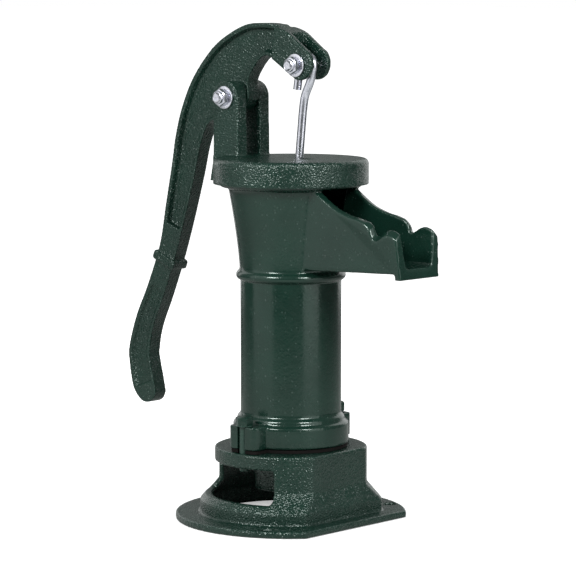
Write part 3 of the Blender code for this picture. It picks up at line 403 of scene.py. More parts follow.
def metalMaterial(name, colour, dark, gloss, grains, depth):
    material, tree, shader, coords = startMaterial(name)
    patch = groupNode(tree, toneGroup, coords, Patches_per_metre=120.0)
    grain = groupNode(tree, grainGroup, coords, Grains_per_metre=grains, Coarse_share=0.3)
    edgesAndCorners = groupNode(tree, edgeCornerGroup, coords)
    toned = mixColour(tree, rangeNode(tree, patch.outputs["Smear"], 0.35, 0.7, 0.0, 0.6), colour, dark)
    # inner corners darkened: painted shade
    recessShaded = mixColour(tree, mathNode(tree, "MULTIPLY", edgesAndCorners.outputs["Corner"], 0.6), toned,
                         tuple(c * 0.4 for c in dark))
    tree.links.new(recessShaded, shader.inputs["Base Color"])
    shader.inputs["Metallic"].default_value = 1.0
    rough = rangeNode(tree, patch.outputs["Tone"], 0.3, 0.7, gloss - 0.05, gloss + 0.08)
    tree.links.new(rough, shader.inputs["Roughness"])
    addBump(tree, shader, grain.outputs["Height"], depth)
    return material


def leatherMaterial():
    material, tree, shader, coords = startMaterial("oiledLeather")
    grain = groupNode(tree, grainGroup, coords, Grains_per_metre=1400.0, Coarse_share=0.5)
    patch = groupNode(tree, toneGroup, coords, Patches_per_metre=60.0)
    base = mixColour(tree, rangeNode(tree, patch.outputs["Tone"], 0.3, 0.7, 0.0, 1.0),
                     (0.0030, 0.0024, 0.0022), (0.0060, 0.0045, 0.0040))
    flecked = mixColour(tree, grain.outputs["Fleck"], base, (0.010, 0.007, 0.005))
    tree.links.new(flecked, shader.inputs["Base Color"])
    shader.inputs["Specular IOR Level"].default_value = 0.15
    rough = rangeNode(tree, patch.outputs["Smear"], 0.3, 0.7, 0.65, 0.9)
    tree.links.new(rough, shader.inputs["Roughness"])
    addBump(tree, shader, grain.outputs["Height"], 0.0002)
    return material


roughEnamel = enamelMaterial("grainyEnamel", 740.0, 0.00105, 0.12, 0.19, 0.42)
smoothEnamel = enamelMaterial("barrelEnamel", 520.0, 0.00014, 0.55, 0.19, 0.12)
boltEnamel = enamelMaterial("boltEnamel", 900.0, 0.00020, 0.30, 0.28, 0.20)
zincPlate = metalMaterial("zincPlate", (0.78, 0.79, 0.86), (0.44, 0.45, 0.52), 0.20, 2400.0, 0.00003)
bareIron = metalMaterial("machinedIron", (0.20, 0.19, 0.18), (0.10, 0.09, 0.085), 0.45, 1500.0, 0.00012)
turnedBrass = metalMaterial("turnedBrass", (0.74, 0.52, 0.22), (0.46, 0.30, 0.12), 0.28, 1800.0, 0.00004)
oiledLeather = leatherMaterial()
print("materials made")

# Base

baseSizes = {
    "foot": (98.2, 75.2), "footThickness": 5.7,     # a ring's radius and its flat's distance
    "skirt": (77.4, 61.0), "skirtTop": 16.0,
    "deck": (64.7, 56.0), "flareTop": 31.0, "height": heightOf("base", True),
    "wall": 4.7, "deckUnderside": 50.3,
    "hubRadius": 31.0, "hubBottom": 26.0, "portRadius": 19.5,
    "windowSill": 21.5, "windowTop": 49.5, "windowFrom": 60.0, "windowTo": 154.0,
    "windowCorner": 3.5, "windowTurn": 2.2, "windowReach": (49.0, 97.0),
    "clampOffset": 57.5, "clampHole": 4.3, "clampDepth": 40.0,
    "slotAngles": (60.5, 180.0, -60.5), "slotCentre": 89.5, "slotRadius": 4.5, "slotHalf": 1.5,
    "cell": 1.15,
}


def dRing(size, height, count=144):
    radius, flat = size
    start = math.degrees(math.acos(flat / radius))
    return [(x, y, height) for x, y in arcPoints((0, 0), radius, start, 360 - start, count)]


def makeBase(s):
    def inset(size):
        return size[0] - s["wall"], size[1] - s["wall"]

    block = loft("baseBlock", [dRing(s["foot"], 0), dRing(s["foot"], s["footThickness"]),
                               dRing(s["skirt"], s["footThickness"]), dRing(s["skirt"], s["skirtTop"]),
                               dRing(s["deck"], s["flareTop"]), dRing(s["deck"], s["height"])])
    half = s["wall"] / 2
    hollow = loft("baseHollow", [dRing(inset(s["skirt"]), -9), dRing(inset(s["skirt"]), s["skirtTop"] - half),
                                 dRing(inset(s["deck"]), s["flareTop"] - half),
                                 dRing(inset(s["deck"]), s["deckUnderside"])])
    hub = prism("hubCore", circlePoints((0, 0), s["hubRadius"], 72, 2), s["hubBottom"], s["height"], "Z")
    combine(hollow, (hub, "DIFFERENCE"))
    steps = [(hollow, "DIFFERENCE")]
    rise = s["windowTop"] - s["windowSill"]
    for side in (1, -1):
        # a window's corners are round
        rows = []
        for share in (0.0, 0.04, 0.12, 0.5, 0.88, 0.96, 1.0):
            height = s["windowSill"] + rise * share
            tuck = max(0.0, s["windowCorner"] - min(share, 1 - share) * rise)
            turn = s["windowTurn"] * (tuck / s["windowCorner"]) ** 2
            low, high = side * (s["windowFrom"] + turn), side * (s["windowTo"] - turn)
            inner = arcPoints((0, 0), s["windowReach"][0], low, high, 40)
            outer = arcPoints((0, 0), s["windowReach"][1], high, low, 40)
            rows.append([(x, y, height) for x, y in inner + outer])
        steps.append((loft(f"window{side}", rows), "DIFFERENCE"))
    past = s["height"] + 9
    port = prism("port", circlePoints((0, 0), s["portRadius"], 72, 1), -9, past, "Z")
    steps.append((port, "DIFFERENCE"))
    for side in (1, -1):
        outline = circlePoints((0, side * s["clampOffset"]), s["clampHole"], 24, 3)
        steps.append((prism(f"clampHole{side}", outline, s["clampDepth"], past, "Z"), "DIFFERENCE"))
    for angle in s["slotAngles"]:
        outline = arcPoints((s["slotHalf"], 0), s["slotRadius"], -90, 90, 9)
        outline += arcPoints((-s["slotHalf"], 0), s["slotRadius"], 90, 270, 9)
        slot = prism("slot", outline, -9, s["footThickness"] + 4, "Z")
        turn = Matrix.Rotation(math.radians(angle + 0.01), 4, "Z")
        slot.data.transform(turn @ Matrix.Translation((s["slotCentre"], 0, 0)))
        steps.append((slot, "DIFFERENCE"))
    combine(block, *steps)
    castSkin(block, s["cell"], 3)
    return finishPiece(block, "baseCasting", "stand", ["base"], roughEnamel)


makeBase(baseSizes)

# Body, in two pieces that meet under the bead

bodySizes = {
    "bore": 38.1, "barrel": 42.7, "flange": 49.0, "flangeBottom": heightOf("pump_body"), "flangeTop": 83.7,
    # the small step over the flange, from the barrel's face and the flange's top
    "step": [(0.0, 7.5), (0.5, 6.2), (2.0, 5.0), (2.9, 3.6), (3.1, 1.2), (3.3, 0.2)],
    "lugHalf": 16.0, "lugCorner": 6.5, "lugEnd": 61.7, "lugTop": 84.5, "boltOffset": 57.5, "boltSlot": 4.3,
    "beadBottom": 204.0, "beadTop": 212.0, "beadRaise": 3.8,
    "reservoirRise": 68.5, "reservoirFlare": 9.9, "reservoirCurve": 1.35, "reservoirWall": 4.6,
    "ring": 60.3, "ringBottom": 283.5,
    "top": heightOf("pump_body", True), "mouth": 50.0,
    "cellLow": 1.08, "cellHigh": 1.05,
}


def lugShape(s):
    corner, half, end = s["lugCorner"], s["lugHalf"], s["lugEnd"]
    lug = arcPoints((half - corner, end - corner), corner, 0, 90, 10)
    lug += arcPoints((-half + corner, end - corner), corner, 90, 180, 10)
    return lug + [(-half, 40.0), (half, 40.0)]


def makeBarrel(s):
    low, b = s["flangeBottom"], s["barrel"]
    seam = s["beadBottom"] + 1.6
    foot = [(b + x, s["flangeTop"] + z) for x, z in s["step"]]
    rim = [(s["flange"] - 1.2, s["flangeTop"]), (s["flange"], s["flangeTop"] - 1.2), (s["flange"], low)]
    tube = lathe("tube", [(0, seam), (b, seam)] + foot + rim + [(0, low)], 160)
    steps = []
    for side in (1, -1):
        outline = [(side * x, side * y) for x, y in lugShape(s)]
        steps.append((prism(f"lug{side}", outline, low, s["lugTop"], "Z"), "UNION"))
    bore = prism("bore", circlePoints((0, 0), s["bore"], 96, 0.7), low - 9, seam + 9, "Z")
    steps.append((bore, "DIFFERENCE"))
    for side in (1, -1):
        slot = arcPoints((0, s["boltOffset"]), s["boltSlot"], 180, 360, 11)
        slot += [(s["boltSlot"], s["lugEnd"] + 9), (-s["boltSlot"], s["lugEnd"] + 9)]
        outline = [(side * x, side * y) for x, y in slot]
        steps.append((prism(f"lugSlot{side}", outline, low - 9, s["lugTop"] + 9, "Z"), "DIFFERENCE"))
    combine(tube, *steps)
    castSkin(tube, s["cellLow"], 2)
    return finishPiece(tube, "barrelCasting", "stand", ["pump_body"], smoothEnamel)


spoutSizes = {
    "reach": 142.0, "root": 30.0, "halfWidth": 27.0, "draft": 2.5, "wall": 6.8, "floor": 222.6,
    "underside": 215.3, "climb": 3.5, "rim": 5.8, "rimDrop": 1.3,
    "sweep": [(50.0, 283.5), (57.4, 278.5), (65.3, 273.3), (73.4, 268.8), (82.0, 265.6), (90.0, 263.4),
              (97.0, 262.2), (102.2, 260.6)],
    "notch": [(102.2, 260.6), (107.5, 259.4), (111.2, 256.1), (113.2, 251.3), (116.0, 248.9), (120.0, 250.5),
              (124.5, 253.1), (129.5, 254.4), (134.0, 253.8), (138.3, 251.5), (139.5, 247.3)],
    # the walls' outer top edges are taken off, more from the notch on
    "chamferFrom": 104.0, "chamferTo": 113.0, "chamferDrop": 4.6, "chamferWidth": 5.2, "topRound": 0.9,
    "topsAbove": 240.0, "draftFrom": 249.0, "troughCorner": 5.0,
}


def spoutSide(s):
    bottom = s["underside"] - s["rimDrop"]
    end = s["reach"]
    rim = end - s["rim"]
    line = [(s["root"], s["sweep"][0][1])] + smoothLine(s["sweep"], 6) + smoothLine(s["notch"], 5)[1:]
    return line + [(end, bottom), (rim, bottom), (rim - 0.4, s["underside"] + s["climb"]),
                   (s["root"], s["underside"])]


def makeReservoir(s, p):
    b = s["barrel"]
    middle = (s["beadBottom"] + s["beadTop"]) / 2
    profile = [(0, s["top"]), (s["ring"], s["top"]), (s["ring"], s["ringBottom"]),
               (s["ring"] - 2.0, s["ringBottom"] - 1.4), (b + 11.2, s["ringBottom"] - 2.0)]
    for step in range(16, -1, -1):
        rise = step / 16
        profile.append((b + 0.6 + (s["reservoirFlare"] - 0.6) * rise ** s["reservoirCurve"],
                        s["beadTop"] + 0.4 + (s["reservoirRise"] - 0.4) * rise))
    for step in range(13):
        angle = math.radians(80 - 170 * step / 12)
        profile.append((b + s["beadRaise"] * math.cos(angle), middle + 4.0 * math.sin(angle)))
    profile += [(b - 0.35, s["beadBottom"]), (b - 0.35, s["beadBottom"] - 3.0), (0, s["beadBottom"] - 3.0)]
    shell = lathe("shell", profile, 160)

    side = spoutSide(p)
    half, width, rings = p["halfWidth"], p["chamferWidth"], []
    for y, share in ((-half, 1.0), (-half + width, 0.0), (half - width, 0.0), (half, 1.0)):
        ring = []
        for x, z in side:
            along = min(max((x - p["chamferFrom"]) / (p["chamferTo"] - p["chamferFrom"]), 0.0), 1.0)
            drop = p["topRound"] + (p["chamferDrop"] - p["topRound"]) * along
            ring.append((x, y, z - (drop * share if z > p["topsAbove"] else 0.0)))
        rings.append(ring)
    block = loft("spoutBlock", rings)
    low, high = p["underside"] - p["rimDrop"], p["draftFrom"]
    for vert in block.data.vertices:
        share = min(max((high - vert.co.z) / (high - low), 0.0), 1.0)
        vert.co.y -= math.copysign(p["draft"] * share, vert.co.y)
    block.data.update()

    inner = b + s["reservoirFlare"] - s["reservoirWall"]
    hollow = [(0, s["top"] + 9), (s["mouth"], s["top"] + 9), (s["mouth"], s["ringBottom"]),
              (inner, s["ringBottom"] - 4)]
    for step in range(13, 0, -1):
        rise = step / 14
        hollow.append((s["bore"] + (inner - s["bore"]) * rise ** s["reservoirCurve"],
                       s["beadTop"] + s["reservoirRise"] * rise))
    hollow += [(s["bore"], s["beadTop"]), (s["bore"], s["beadBottom"] - 12), (0, s["beadBottom"] - 12)]

    half = p["halfWidth"] - p["wall"]
    foot = half - p["draft"] - 1.0
    corner = p["troughCorner"]
    section = [(half, s["ringBottom"] - 0.8), (half, p["draftFrom"])]
    section += arcPoints((foot - corner, p["floor"] + corner), corner, 0, -90, 6)
    section += [(-y, z) for y, z in reversed(section)]
    trough = prism("trough", section, p["root"] - 9, p["reach"] + 9, "X")
    combine(shell, (block, "UNION"), (lathe("inside", hollow, 160), "DIFFERENCE"), (trough, "DIFFERENCE"))
    castSkin(shell, s["cellHigh"], 3)
    return finishPiece(shell, "reservoirCasting", "stand", ["pump_body"], smoothEnamel)


makeBarrel(bodySizes)
makeReservoir(bodySizes, spoutSizes)

# Cap

capSizes = {
    "bottom": 284.6, "top": 306.2, "radius": 65.6, "bore": 60.9, "land": 294.3, "cavity": 54.4, "plate": 6.0,
    "edge": 4.2, "earGap": 16.0, "earFace": 20.0, "earRadius": 14.0, "pivotX": -57.6, "pivotZ": 356.0,
    "tail": 18.4, "tailTaper": 3.4, "plinthBack": 15.2, "plinthFront": 15.0, "plinthRise": 0.9,
    "holeRadius": 4.3, "slotFrom": 4.4, "slotTo": 25.0, "slotHalf": 4.45,
    "screwHole": 3.3, "screwAngle": 125.0, "cell": 0.85,
}


def makeCap(s):
    low, top = s["bottom"], s["top"]
    dome = [(0, top), (s["radius"] - 12, top)]
    dome += arcPoints((s["radius"] - s["edge"], top - s["edge"]), s["edge"], 90, 0, 6)
    profile = dome + [(s["radius"], low), (s["bore"], low), (s["bore"], s["land"]), (s["cavity"], s["land"]),
                      (s["cavity"], top - s["plate"]), (0, top - s["plate"])]
    cap = lathe("capBlock", profile, 160)
    px, pz = s["pivotX"], s["pivotZ"]
    back = px - s["tail"]
    tail = prism("tail", [(back, low), (px + 2, low), (px + 2, top - 1), (back + s["tailTaper"], top - 1),
                          (back + s["tailTaper"], top - 5)], -s["earFace"], s["earFace"], "Y")
    mouth, core = (circlePoints((0, 0), s[key], 96, 0.7) for key in ("bore", "cavity"))
    combine(tail, (prism("tailMouth", mouth, low - 9, s["land"], "Z"), "DIFFERENCE"),
            (prism("tailCore", core, low - 9, top - s["plate"], "Z"), "DIFFERENCE"))
    steps = [(tail, "UNION")]
    # plinth under the ears, and the ears, which widen a little towards it
    back, front = px - s["plinthBack"], px + s["plinthFront"]
    outline = [(back, top - 3), (front, top - 3), (front, top + s["plinthRise"]),
               (back + 0.6, top + s["plinthRise"])]
    steps.append((prism("plinth", outline, -s["earFace"], s["earFace"], "Y"), "UNION"))
    outline = arcPoints((px, pz), s["earRadius"], 0, 180, 24)
    outline += [(px - s["earRadius"] - 0.6, top - 3), (px + s["earRadius"] + 0.6, top - 3)]
    for side in (1, -1):
        near, far = sorted((side * s["earGap"] / 2, side * s["earFace"]))
        steps.append((prism(f"ear{side}", outline, near, far, "Y"), "UNION"))
    half = s["earGap"] / 2
    throat = arcPoints((0, top + half - 0.4), half, 180, 360, 12)
    throat = [(y, z) for y, z in throat] + [(half, top + 30), (-half, top + 30)]
    cut = prism("throat", throat, px - 17.6, px + 17.6, "X")
    steps.append((cut, "DIFFERENCE"))
    hole = prism("fulcrumHole", circlePoints((px, pz), s["holeRadius"], 24, 4), -30, 30, "Y")
    steps.append((hole, "DIFFERENCE"))
    slot = arcPoints((s["slotTo"] - s["slotHalf"], 0), s["slotHalf"], -90, 90, 12)
    slot += arcPoints((s["slotFrom"] + s["slotHalf"], 0), s["slotHalf"], 90, 270, 12)
    steps.append((prism("rodSlot", slot, top - s["plate"] - 9, top + 9, "Z"), "DIFFERENCE"))
    screwHole = prism("screwHole", circlePoints((0, 0), s["screwHole"], 24, 5), 56, 70, "X")
    turn = Matrix.Rotation(math.radians(s["screwAngle"]), 4, "Z")
    screwHole.data.transform(turn @ Matrix.Translation((0, 0, (low + s["land"]) / 2)))
    steps.append((screwHole, "DIFFERENCE"))
    combine(cap, *steps)
    castSkin(cap, s["cell"], 3)
    return finishPiece(cap, "capCasting", "cap", ["cap"], roughEnamel)


makeCap(capSizes)

# Lever

leverSizes = {
    "half": 7.0, "web": 1.8, "outerRim": 5.0, "innerRim": 4.2, "boss": 12.5,
    "clevisHalf": 12.9, "clevisGap": 16.4, "clevisRadius": 14.0, "armX": 75.1, "armZ": 28.4,
    "holeRadius": 4.3,
    "collarRaise": 2.0, "collarStation": 5.75, "collarPast": 3.0, "collarHalf": 4.2, "collarCorner": 1.4,
    "armPocket": (6.6, 14.75), "gripPocket": (0.8, 5.05), "gripFloor": 4.4, "pocketDraft": (1.2, -0.6),
    "cell": 0.76,
    # the gap in the clevis, from the rod's bolt
    "gapSide": [(-10.0, 45), (-10.0, 20), (-15.5, 8), (-15.5, -30), (40, -30), (40, 45)],
    # the grip's round end and the clevis's upper edge
    "heel": [(-102.8, -270.4), (-108.5, -273.8), (-116.5, -273.6)],
    "brow": [(50.0, 60.2), (58.0, 58.2), (65.6, 55.2), (74.6, 48.9), (84.2, 42.1)],
    # outer and inner edge from the grip's end up to the clevis, measured from the fulcrum
    "stations": [((-123.6, -268.4), (-99.9, -264.6)), ((-128.6, -259.9), (-103.0, -250.6)),
                 ((-132.3, -242.2), (-106.0, -238.7)), ((-132.7, -225.1), (-107.4, -227.7)),
                 ((-123.0, -196.4), (-102.6, -206.4)), ((-108.7, -168.5), (-89.3, -177.5)),
                 ((-93.4, -131.9), (-73.7, -139.7)), ((-85.6, -96.2), (-61.5, -104.6)),
                 ((-77.9, -60.7), (-50.6, -69.9)), ((-72.8, -34.3), (-42.2, -40.3)),
                 ((-64.0, -8.0), (-30.9, -22.1)), ((-49.2, 18.3), (-4.4, -14.3)),
                 ((-24.3, 44.1), (14.0, -1.6)), ((7.5, 60.4), (14.1, 15.9)),
                 ((31.1, 63.2), (30.6, 34.9)), ((49.0, 61.8), (47.1, 32.8))],
}


def makeLever(s):
    px, pz = capSizes["pivotX"], capSizes["pivotZ"]
    outerLine = [row[0] for row in s["stations"]]
    innerLine = [row[1] for row in s["stations"]]

    def moved(points):
        return [(x + px, z + pz) for x, z in points]

    def edges(start, end, steps, outerIn, innerIn):
        outer, inner = [], []
        for step in range(steps + 1):
            position = start + (end - start) * step / steps
            a, b = alongLine(outerLine, position), alongLine(innerLine, position)
            across = (b - a).normalized()
            outer.append(tuple(a + across * outerIn))
            inner.append(tuple(b - across * innerIn))
        return outer, inner

    outer, inner = edges(0, len(s["stations"]) - 1, 120, 0, 0)
    nose = [(s["armX"] - 12, s["armZ"] + 19), (s["armX"] - 12, s["armZ"] + 6)]
    heel = smoothLine([inner[0], *s["heel"], outer[0]], 6)
    lever = prism("leverBlock", moved(outer + nose + inner[::-1] + heel[1:-1]), -s["half"], s["half"])

    centre = (s["armX"] + 2.5, s["armZ"] + 1.7)
    clevis = smoothLine(s["brow"], 5) + arcPoints(centre, s["clevisRadius"], 48, -105, 28) + [(46.6, 33.5)]
    cheek = prism("clevisBlock", moved(clevis), -s["clevisHalf"], s["clevisHalf"])
    steps = [(cheek, "UNION")]

    a, b = alongLine(outerLine, s["collarStation"]), alongLine(innerLine, s["collarStation"])
    across = (b - a).normalized()
    along = Vector((-across.y, across.x))
    middle, wide = (a + b) / 2, (b - a).length / 2 + s["collarPast"]
    tall, soft = s["collarHalf"], s["collarCorner"]
    band = []
    for i, j in ((1, 1), (-1, 1), (-1, -1), (1, -1)):
        for x, y in ((i * wide, j * (tall - soft)), (i * (wide - soft), j * tall))[::i * j]:
            band.append(tuple(middle + across * x + along * y))
    reach = s["half"] + s["collarRaise"]
    steps.append((prism("collar", moved(band), -reach, reach), "UNION"))

    # pockets with drafted sides, deep on the arm and shallow on the grip
    for name, floor in (("arm", s["web"]), ("grip", s["gripFloor"])):
        start, end = s[name + "Pocket"]
        rows = {}
        for label, spread in zip(("top", "bottom"), s["pocketDraft"]):
            outerEdge, innerEdge = edges(start, end, 70, s["outerRim"] - spread, s["innerRim"] - spread)
            rows[label] = moved(outerEdge + innerEdge[::-1])
        for side in (1, -1):
            levels = [("bottom", floor), ("top", s["half"]), ("top", s["half"] + 4)]
            rings = [[(x, side * y, z) for x, z in rows[label]] for label, y in levels]
            steps.append((loft(f"{name}Pocket{side}", rings), "DIFFERENCE"))
    steps.append((prism("boss", arcPoints((px, pz), s["boss"], 1, 354, 50), -s["half"], s["half"]), "UNION"))

    gap = [(s["armX"] + x, s["armZ"] + z) for x, z in s["gapSide"]]
    steps.append((prism("clevisGap", moved(gap), -s["clevisGap"] / 2, s["clevisGap"] / 2), "DIFFERENCE"))
    for name, x, z in (("fulcrumBore", 0, 0), ("rodBore", s["armX"], s["armZ"])):
        hole = prism(name, circlePoints((px + x, pz + z), s["holeRadius"], 24, 4), -30, 30)
        steps.append((hole, "DIFFERENCE"))
    combine(lever, *steps)
    castSkin(lever, s["cell"], 4)
    return finishPiece(lever, "leverCasting", "lever", ["lever"], roughEnamel)


makeLever(leverSizes)

# Fasteners

boltSizes = {
    "shank": 4.0, "flats": 13.0, "head": 5.3, "nut": 5.6, "collar": 2.2, "collarRadius": 5.4, "stickOut": 1.2,
    "washer": 9.7, "washerThickness": 1.6, "pitch": 1.25, "ridge": 0.42, "root": 0.28,
    "clampHead": 8.0, "clampFlange": 7.2, "clampEnd": 46.4,
}


def hexBlock(name, flats, low, high, chamferLow, chamferHigh, axis):
    # a hexagon whose corners are turned off at the ends
    corner = flats / math.sqrt(3)
    block = prism(name, arcPoints((0, 0), corner, 30, 330, 5), low, high, axis)
    turnedOff = [(0, low), (corner - chamferLow * 1.5, low), (corner + 0.2, low + chamferLow),
                 (corner + 0.2, high - chamferHigh), (corner - chamferHigh * 1.5, high), (0, high)]
    cone = lathe(name + "Cone", turnedOff, 64, axis=axis)
    combine(block, (cone, "INTERSECT"))
    bevel = block.modifiers.new("soft", "BEVEL")
    bevel.width = 0.25
    bevel.segments = 2
    bevel.limit_method = "ANGLE"
    bevel.angle_limit = math.radians(35)
    return settle(block)


def connect(tree, *pairs):
    for start, end in pairs:
        tree.links.new(start, end)


def startTree(name, inputs):
    tree = bpy.data.node_groups.new(name, "GeometryNodeTree")
    for label, kind, value in inputs + [("Finish", "NodeSocketMaterial", None)]:
        socket = tree.interface.new_socket(name=label, in_out="INPUT", socket_type=kind)
        if value is not None:
            socket.default_value = value
    tree.interface.new_socket(name="Geometry", in_out="OUTPUT", socket_type="NodeSocketGeometry")
    return tree, tree.nodes.new("NodeGroupInput").outputs


def endTree(tree, given, shape):
    # the shape's instances made real and given their material
    real = tree.nodes.new("GeometryNodeRealizeInstances")
    finish = tree.nodes.new("GeometryNodeSetMaterial")
    made = tree.nodes.new("NodeGroupOutput")
    connect(tree, (shape, real.inputs["Geometry"]), (real.outputs["Geometry"], finish.inputs["Geometry"]),
            (given["Finish"], finish.inputs["Material"]),
            (finish.outputs["Geometry"], made.inputs["Geometry"]))
    return tree


def spiralTree():
    # a thread's ridge as a tube along a spiral
    tree, given = startTree("threadSpiral",
                            [("Radius", "NodeSocketFloat", 4.0), ("Turns", "NodeSocketFloat", 3.0),
                             ("Length", "NodeSocketFloat", 3.0), ("Ridge", "NodeSocketFloat", 0.3)])
    spiral = addNode(tree, "GeometryNodeCurveSpiral", Resolution=24)
    ridge = addNode(tree, "GeometryNodeCurvePrimitiveCircle", Resolution=4)
    sweep = addNode(tree, "GeometryNodeCurveToMesh", Fill_Caps=True)
    connect(tree, (given["Radius"], spiral.inputs["Start Radius"]),
            (given["Radius"], spiral.inputs["End Radius"]), (given["Turns"], spiral.inputs["Rotations"]),
            (given["Length"], spiral.inputs["Height"]), (given["Ridge"], ridge.inputs["Radius"]),
            (spiral.outputs["Curve"], sweep.inputs["Curve"]),
            (ridge.outputs["Curve"], sweep.inputs["Profile Curve"]))
    return endTree(tree, given, sweep.outputs["Mesh"])


def setInputs(modifier, values):
    for item in modifier.node_group.interface.items_tree:
        if item.item_type == "SOCKET" and item.in_out == "INPUT" and item.name in values:
            modifier[item.identifier] = values[item.name]


threadTree = spiralTree()


def thread(s, start, length, finish, axis):
    holder = addObject("thread", bpy.data.meshes.new("thread"))
    modifier = holder.modifiers.new("thread", "NODES")
    modifier.node_group = threadTree
    setInputs(modifier, {"Radius": s["shank"] - s["root"], "Turns": length / s["pitch"], "Length": length,
                         "Ridge": s["ridge"], "Finish": finish})
    settle(holder)
    holder.data.transform(Matrix.Translation((0, 0, start)))
    if axis == "Y":
        holder.data.transform(Matrix.Rotation(math.radians(90), 4, "X"))
    return holder


def moveTo(obj, place):
    obj.data.transform(Matrix.Translation(place))
    return obj


def shankProfile(radius, low, high):
    # its lower end is chamfered
    return [(0, high), (radius, high), (radius, low + 0.8), (radius - 0.8, low), (0, low)]


def crossBolt(name, body, node, x, z, grip, s):
    # head on the far side; grip is half the width that it holds, washers included
    seat = grip + fitGap
    end = seat + s["nut"] + s["collar"] + s["stickOut"]
    shank = lathe("shank", shankProfile(s["shank"], -end, seat + 1), 48, axis="Y")
    head = hexBlock("head", s["flats"], seat, seat + s["head"], 0.2, 0.9, "Y")
    ridge = thread(s, end - 5.0, 4.4, zincPlate, "Y")
    bolt = joinPieces(name, [moveTo(part, (x, 0, z)) for part in (shank, head, ridge)])
    return finishPiece(bolt, name, body, [node], zincPlate, 40)


def lockNut(name, body, node, x, z, grip, s):
    start = -(grip + fitGap)
    block = hexBlock("nutHex", s["flats"], start - s["nut"], start, 0.9, 0.9, "Y")
    r = s["collarRadius"]
    top = start - s["nut"] - s["collar"]
    profile = [(0, start - s["nut"] + 1), (r, start - s["nut"] + 1), (r, top + 1.2), (r - 0.35, top + 0.35),
               (r - 1.2, top), (0, top)]
    dome = lathe("nutCollar", profile, 48, axis="Y")
    bore = prism("nutBore", circlePoints((0, 0), s["shank"] + fitGap, 24, 3), start - 20, start + 9, "Y")
    combine(block, (dome, "UNION"), (bore, "DIFFERENCE"))
    moveTo(block, (x, 0, z))
    return finishPiece(block, name, body, [node], zincPlate, 40)


def washerTree():
    # the same washer at every point of a mesh
    tree, given = startTree("washerSet",
                            [("Geometry", "NodeSocketGeometry", None), ("Washer", "NodeSocketObject", None)])
    info = tree.nodes.new("GeometryNodeObjectInfo")
    spread = tree.nodes.new("GeometryNodeInstanceOnPoints")
    connect(tree, (given["Washer"], info.inputs["Object"]), (given["Geometry"], spread.inputs["Points"]),
            (info.outputs["Geometry"], spread.inputs["Instance"]))
    return endTree(tree, given, spread.outputs["Instances"])


washerNodes = washerTree()


def washerPair(name, body, nodes, x, z, halfWidth, s):
    t, edge, r = s["washerThickness"], 0.3, s["washer"]
    hole = s["shank"] + fitGap
    profile = [(hole, t / 2), (r - edge, t / 2), (r - edge * 0.3, t / 2 - edge * 0.3), (r, t / 2 - edge),
               (r, -t / 2 + edge), (r - edge * 0.3, -t / 2 + edge * 0.3), (r - edge, -t / 2), (hole, -t / 2)]
    one = lathe("washer", profile, 64, True, "Y")
    seat = halfWidth + fitGap + t / 2
    holder = meshObject("washerPoints", [(x, -seat, z), (x, seat, z)], [])
    modifier = holder.modifiers.new("washers", "NODES")
    modifier.node_group = washerNodes
    setInputs(modifier, {"Washer": one, "Finish": zincPlate})
    settle(holder)
    bpy.data.objects.remove(one)
    return finishPiece(holder, name, body, nodes, zincPlate, 40)


def crossSet(prefix, body, x, z, halfWidth, s):
    grip = halfWidth + fitGap + s["washerThickness"]
    crossBolt(prefix + "Bolt", body, prefix + "_bolt", x, z, grip, s)
    lockNut(prefix + "Nut", body, prefix + "_nut", x, z, grip, s)
    washers = [prefix + "_washer_head", prefix + "_washer_nut"]
    washerPair(prefix + "Washers", body, washers, x, z, halfWidth, s)


def clampBolt(name, node, side, s):
    seat, low, wide = bodySizes["lugTop"] + fitGap, s["clampEnd"], s["clampFlange"]
    shank = lathe("clampShank", shankProfile(s["shank"], low, seat + 1), 48)
    profile = [(0, seat + 1.5), (wide - 1.7, seat + 1.5), (wide, seat + 0.5), (wide, seat), (0, seat)]
    flange = lathe("clampFlange", profile, 48)
    head = hexBlock("clampHead", s["flats"], seat + 0.2, seat + s["clampHead"], 0.2, 1.0, "Z")
    ridge = thread(s, low + 0.6, 3.0, boltEnamel, "Z")
    bolt = joinPieces(name, [moveTo(part, (0, side * bodySizes["boltOffset"], 0))
                             for part in (shank, flange, head, ridge)])
    return finishPiece(bolt, name, "stand", [node], boltEnamel, 40)


pinX, pinZ = capSizes["pivotX"] + leverSizes["armX"], capSizes["pivotZ"] + leverSizes["armZ"]
crossSet("fulcrum", "cap", capSizes["pivotX"], capSizes["pivotZ"], capSizes["earFace"], boltSizes)
crossSet("rod", "lever", pinX, pinZ, leverSizes["clevisHalf"], boltSizes)
clampBolt("clampBoltNear", "base_bolt_near", -1, boltSizes)
clampBolt("clampBoltFar", "base_bolt_far", 1, boltSizes)

# Set screw in the cap's skirt

screwSizes = {"shank": 3.0, "tip": 60.6, "seat": 67.1, "halfHead": 4.0, "headHeight": 6.0, "headEdge": 0.6}


def makeSetScrew(s):
    height = (capSizes["bottom"] + capSizes["land"]) / 2
    shank = lathe("screwShank", shankProfile(s["shank"], s["tip"], s["seat"] + 1)[::-1], 40)
    half = s["halfHead"]
    head = boxBlock("screwHead", (-half, -half, s["seat"]), (half, half, s["seat"] + s["headHeight"]))
    bevel = head.modifiers.new("soft", "BEVEL")
    bevel.width = s["headEdge"]
    bevel.segments = 3
    settle(head)
    screw = joinPieces("setScrew", [shank, head])
    turn = Matrix.Rotation(math.radians(capSizes["screwAngle"]), 4, "Z")
    lay = Matrix.Rotation(math.radians(90), 4, "Y")
    screw.data.transform(Matrix.Translation((0, 0, height)) @ turn @ lay)
    return finishPiece(screw, "setScrew", "cap", ["cap_set_screw"], zincPlate, 40)


makeSetScrew(screwSizes)

# Piston rod

